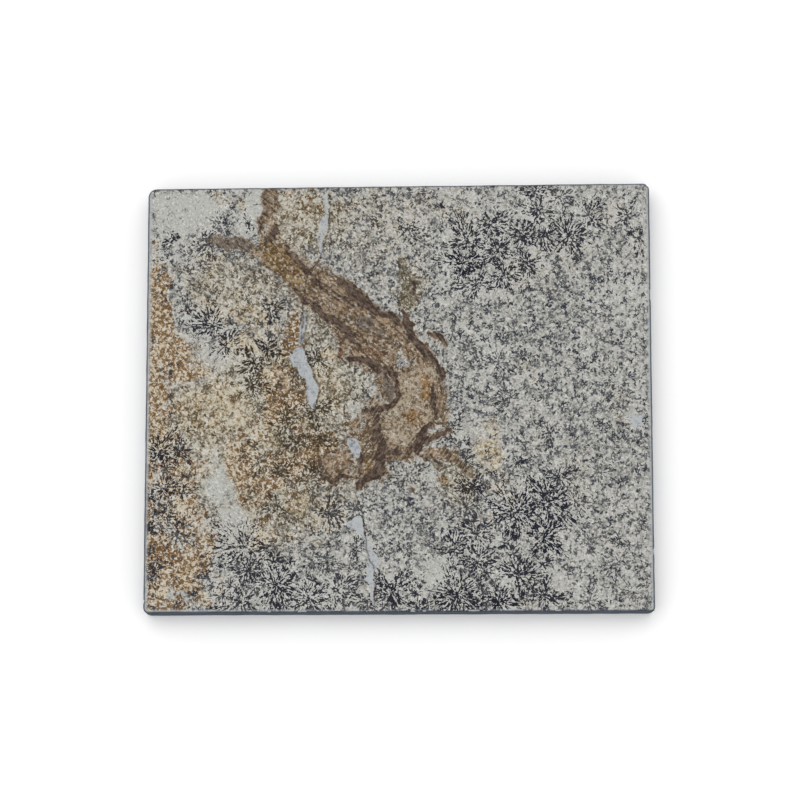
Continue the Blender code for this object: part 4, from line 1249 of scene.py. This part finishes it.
class FOSSIL_OT_studio(bpy.types.Operator):
    """Adds the pale floor, the soft lights and the camera"""

    bl_idname = "fossil.studio"
    bl_label = "Studio"

    def execute(self, context):
        studio = context.scene.fossil_studio
        bpy.ops.object.select_all(action="DESELECT")
        bpy.ops.mesh.primitive_plane_add(size=FLOOR_SIZE, location=(0.0, 0.0, -FLOOR_DROP))
        floor = context.active_object
        floor.name = "studio_floor"
        floor.data.materials.append(floor_material(studio))
        add_light("key_light", KEY_PLACE, KEY_SIZE, studio.key_power)
        world = bpy.data.worlds.new("soft_surround")
        world.use_nodes = True
        glow = world.node_tree.nodes["Background"]
        glow.inputs["Strength"].default_value = studio.surround
        glow.inputs["Color"].default_value = (1.0, 1.0, 1.0, 1.0)
        context.scene.world = world
        add_camera(context, studio)
        context.scene.view_settings.view_transform = "Standard"
        return {"FINISHED"}


def add_light(name, place, size, power):
    """A square soft light that looks at the slab."""
    lamp = bpy.data.lights.new(name, "AREA")
    lamp.shape = "SQUARE"
    lamp.size = size
    lamp.energy = power
    light = bpy.data.objects.new(name, lamp)
    light.location = place
    light.rotation_euler = (-Vector(place)).to_track_quat("-Z", "Y").to_euler()
    bpy.context.scene.collection.objects.link(light)


def add_camera(context, studio):
    """Looks down on the fossil face, tilted a little towards the front edge."""
    lens = bpy.data.cameras.new("camera")
    lens.lens = studio.focal_length
    lens.sensor_width = SENSOR_WIDTH
    lens.clip_start = NEAREST_SEEN
    camera = bpy.data.objects.new("camera", lens)
    back = Vector((0.0, -math.sin(studio.tilt), math.cos(studio.tilt)))
    camera.location = Vector(AIM) * MM + back * studio.distance
    camera.rotation_euler = (-back).to_track_quat("-Z", "Y").to_euler()
    context.scene.collection.objects.link(camera)
    context.scene.camera = camera


class FOSSIL_PT_panel(bpy.types.Panel):
    """Lists the pieces and their settings"""

    bl_label = "Fossil fish slab"
    bl_idname = "FOSSIL_PT_panel"
    bl_space_type = "VIEW_3D"
    bl_region_type = "UI"
    bl_category = "Fossil"

    def draw(self, context):
        for maker in (FOSSIL_OT_slab, FOSSIL_OT_studio):
            self.layout.operator(maker.bl_idname)
        for group in ("fossil_stone", "fossil_colours", "fossil_studio"):
            settings = getattr(context.scene, group)
            box = self.layout.box()
            for name in settings.__annotations__:
                box.prop(settings, name)


CLASSES = (StoneSettings, ColourSettings, StudioSettings, FOSSIL_OT_slab, FOSSIL_OT_studio,
           FOSSIL_PT_panel)


def register():
    for made in CLASSES:
        bpy.utils.register_class(made)
    bpy.types.Scene.fossil_stone = PointerProperty(type=StoneSettings)
    bpy.types.Scene.fossil_colours = PointerProperty(type=ColourSettings)
    bpy.types.Scene.fossil_studio = PointerProperty(type=StudioSettings)


def unregister():
    del bpy.types.Scene.fossil_studio
    del bpy.types.Scene.fossil_colours
    del bpy.types.Scene.fossil_stone
    for made in reversed(CLASSES):
        bpy.utils.unregister_class(made)


def main():
    register()
    bpy.ops.fossil.studio()
    bpy.ops.fossil.slab()


if __name__ == "__main__":
    main()
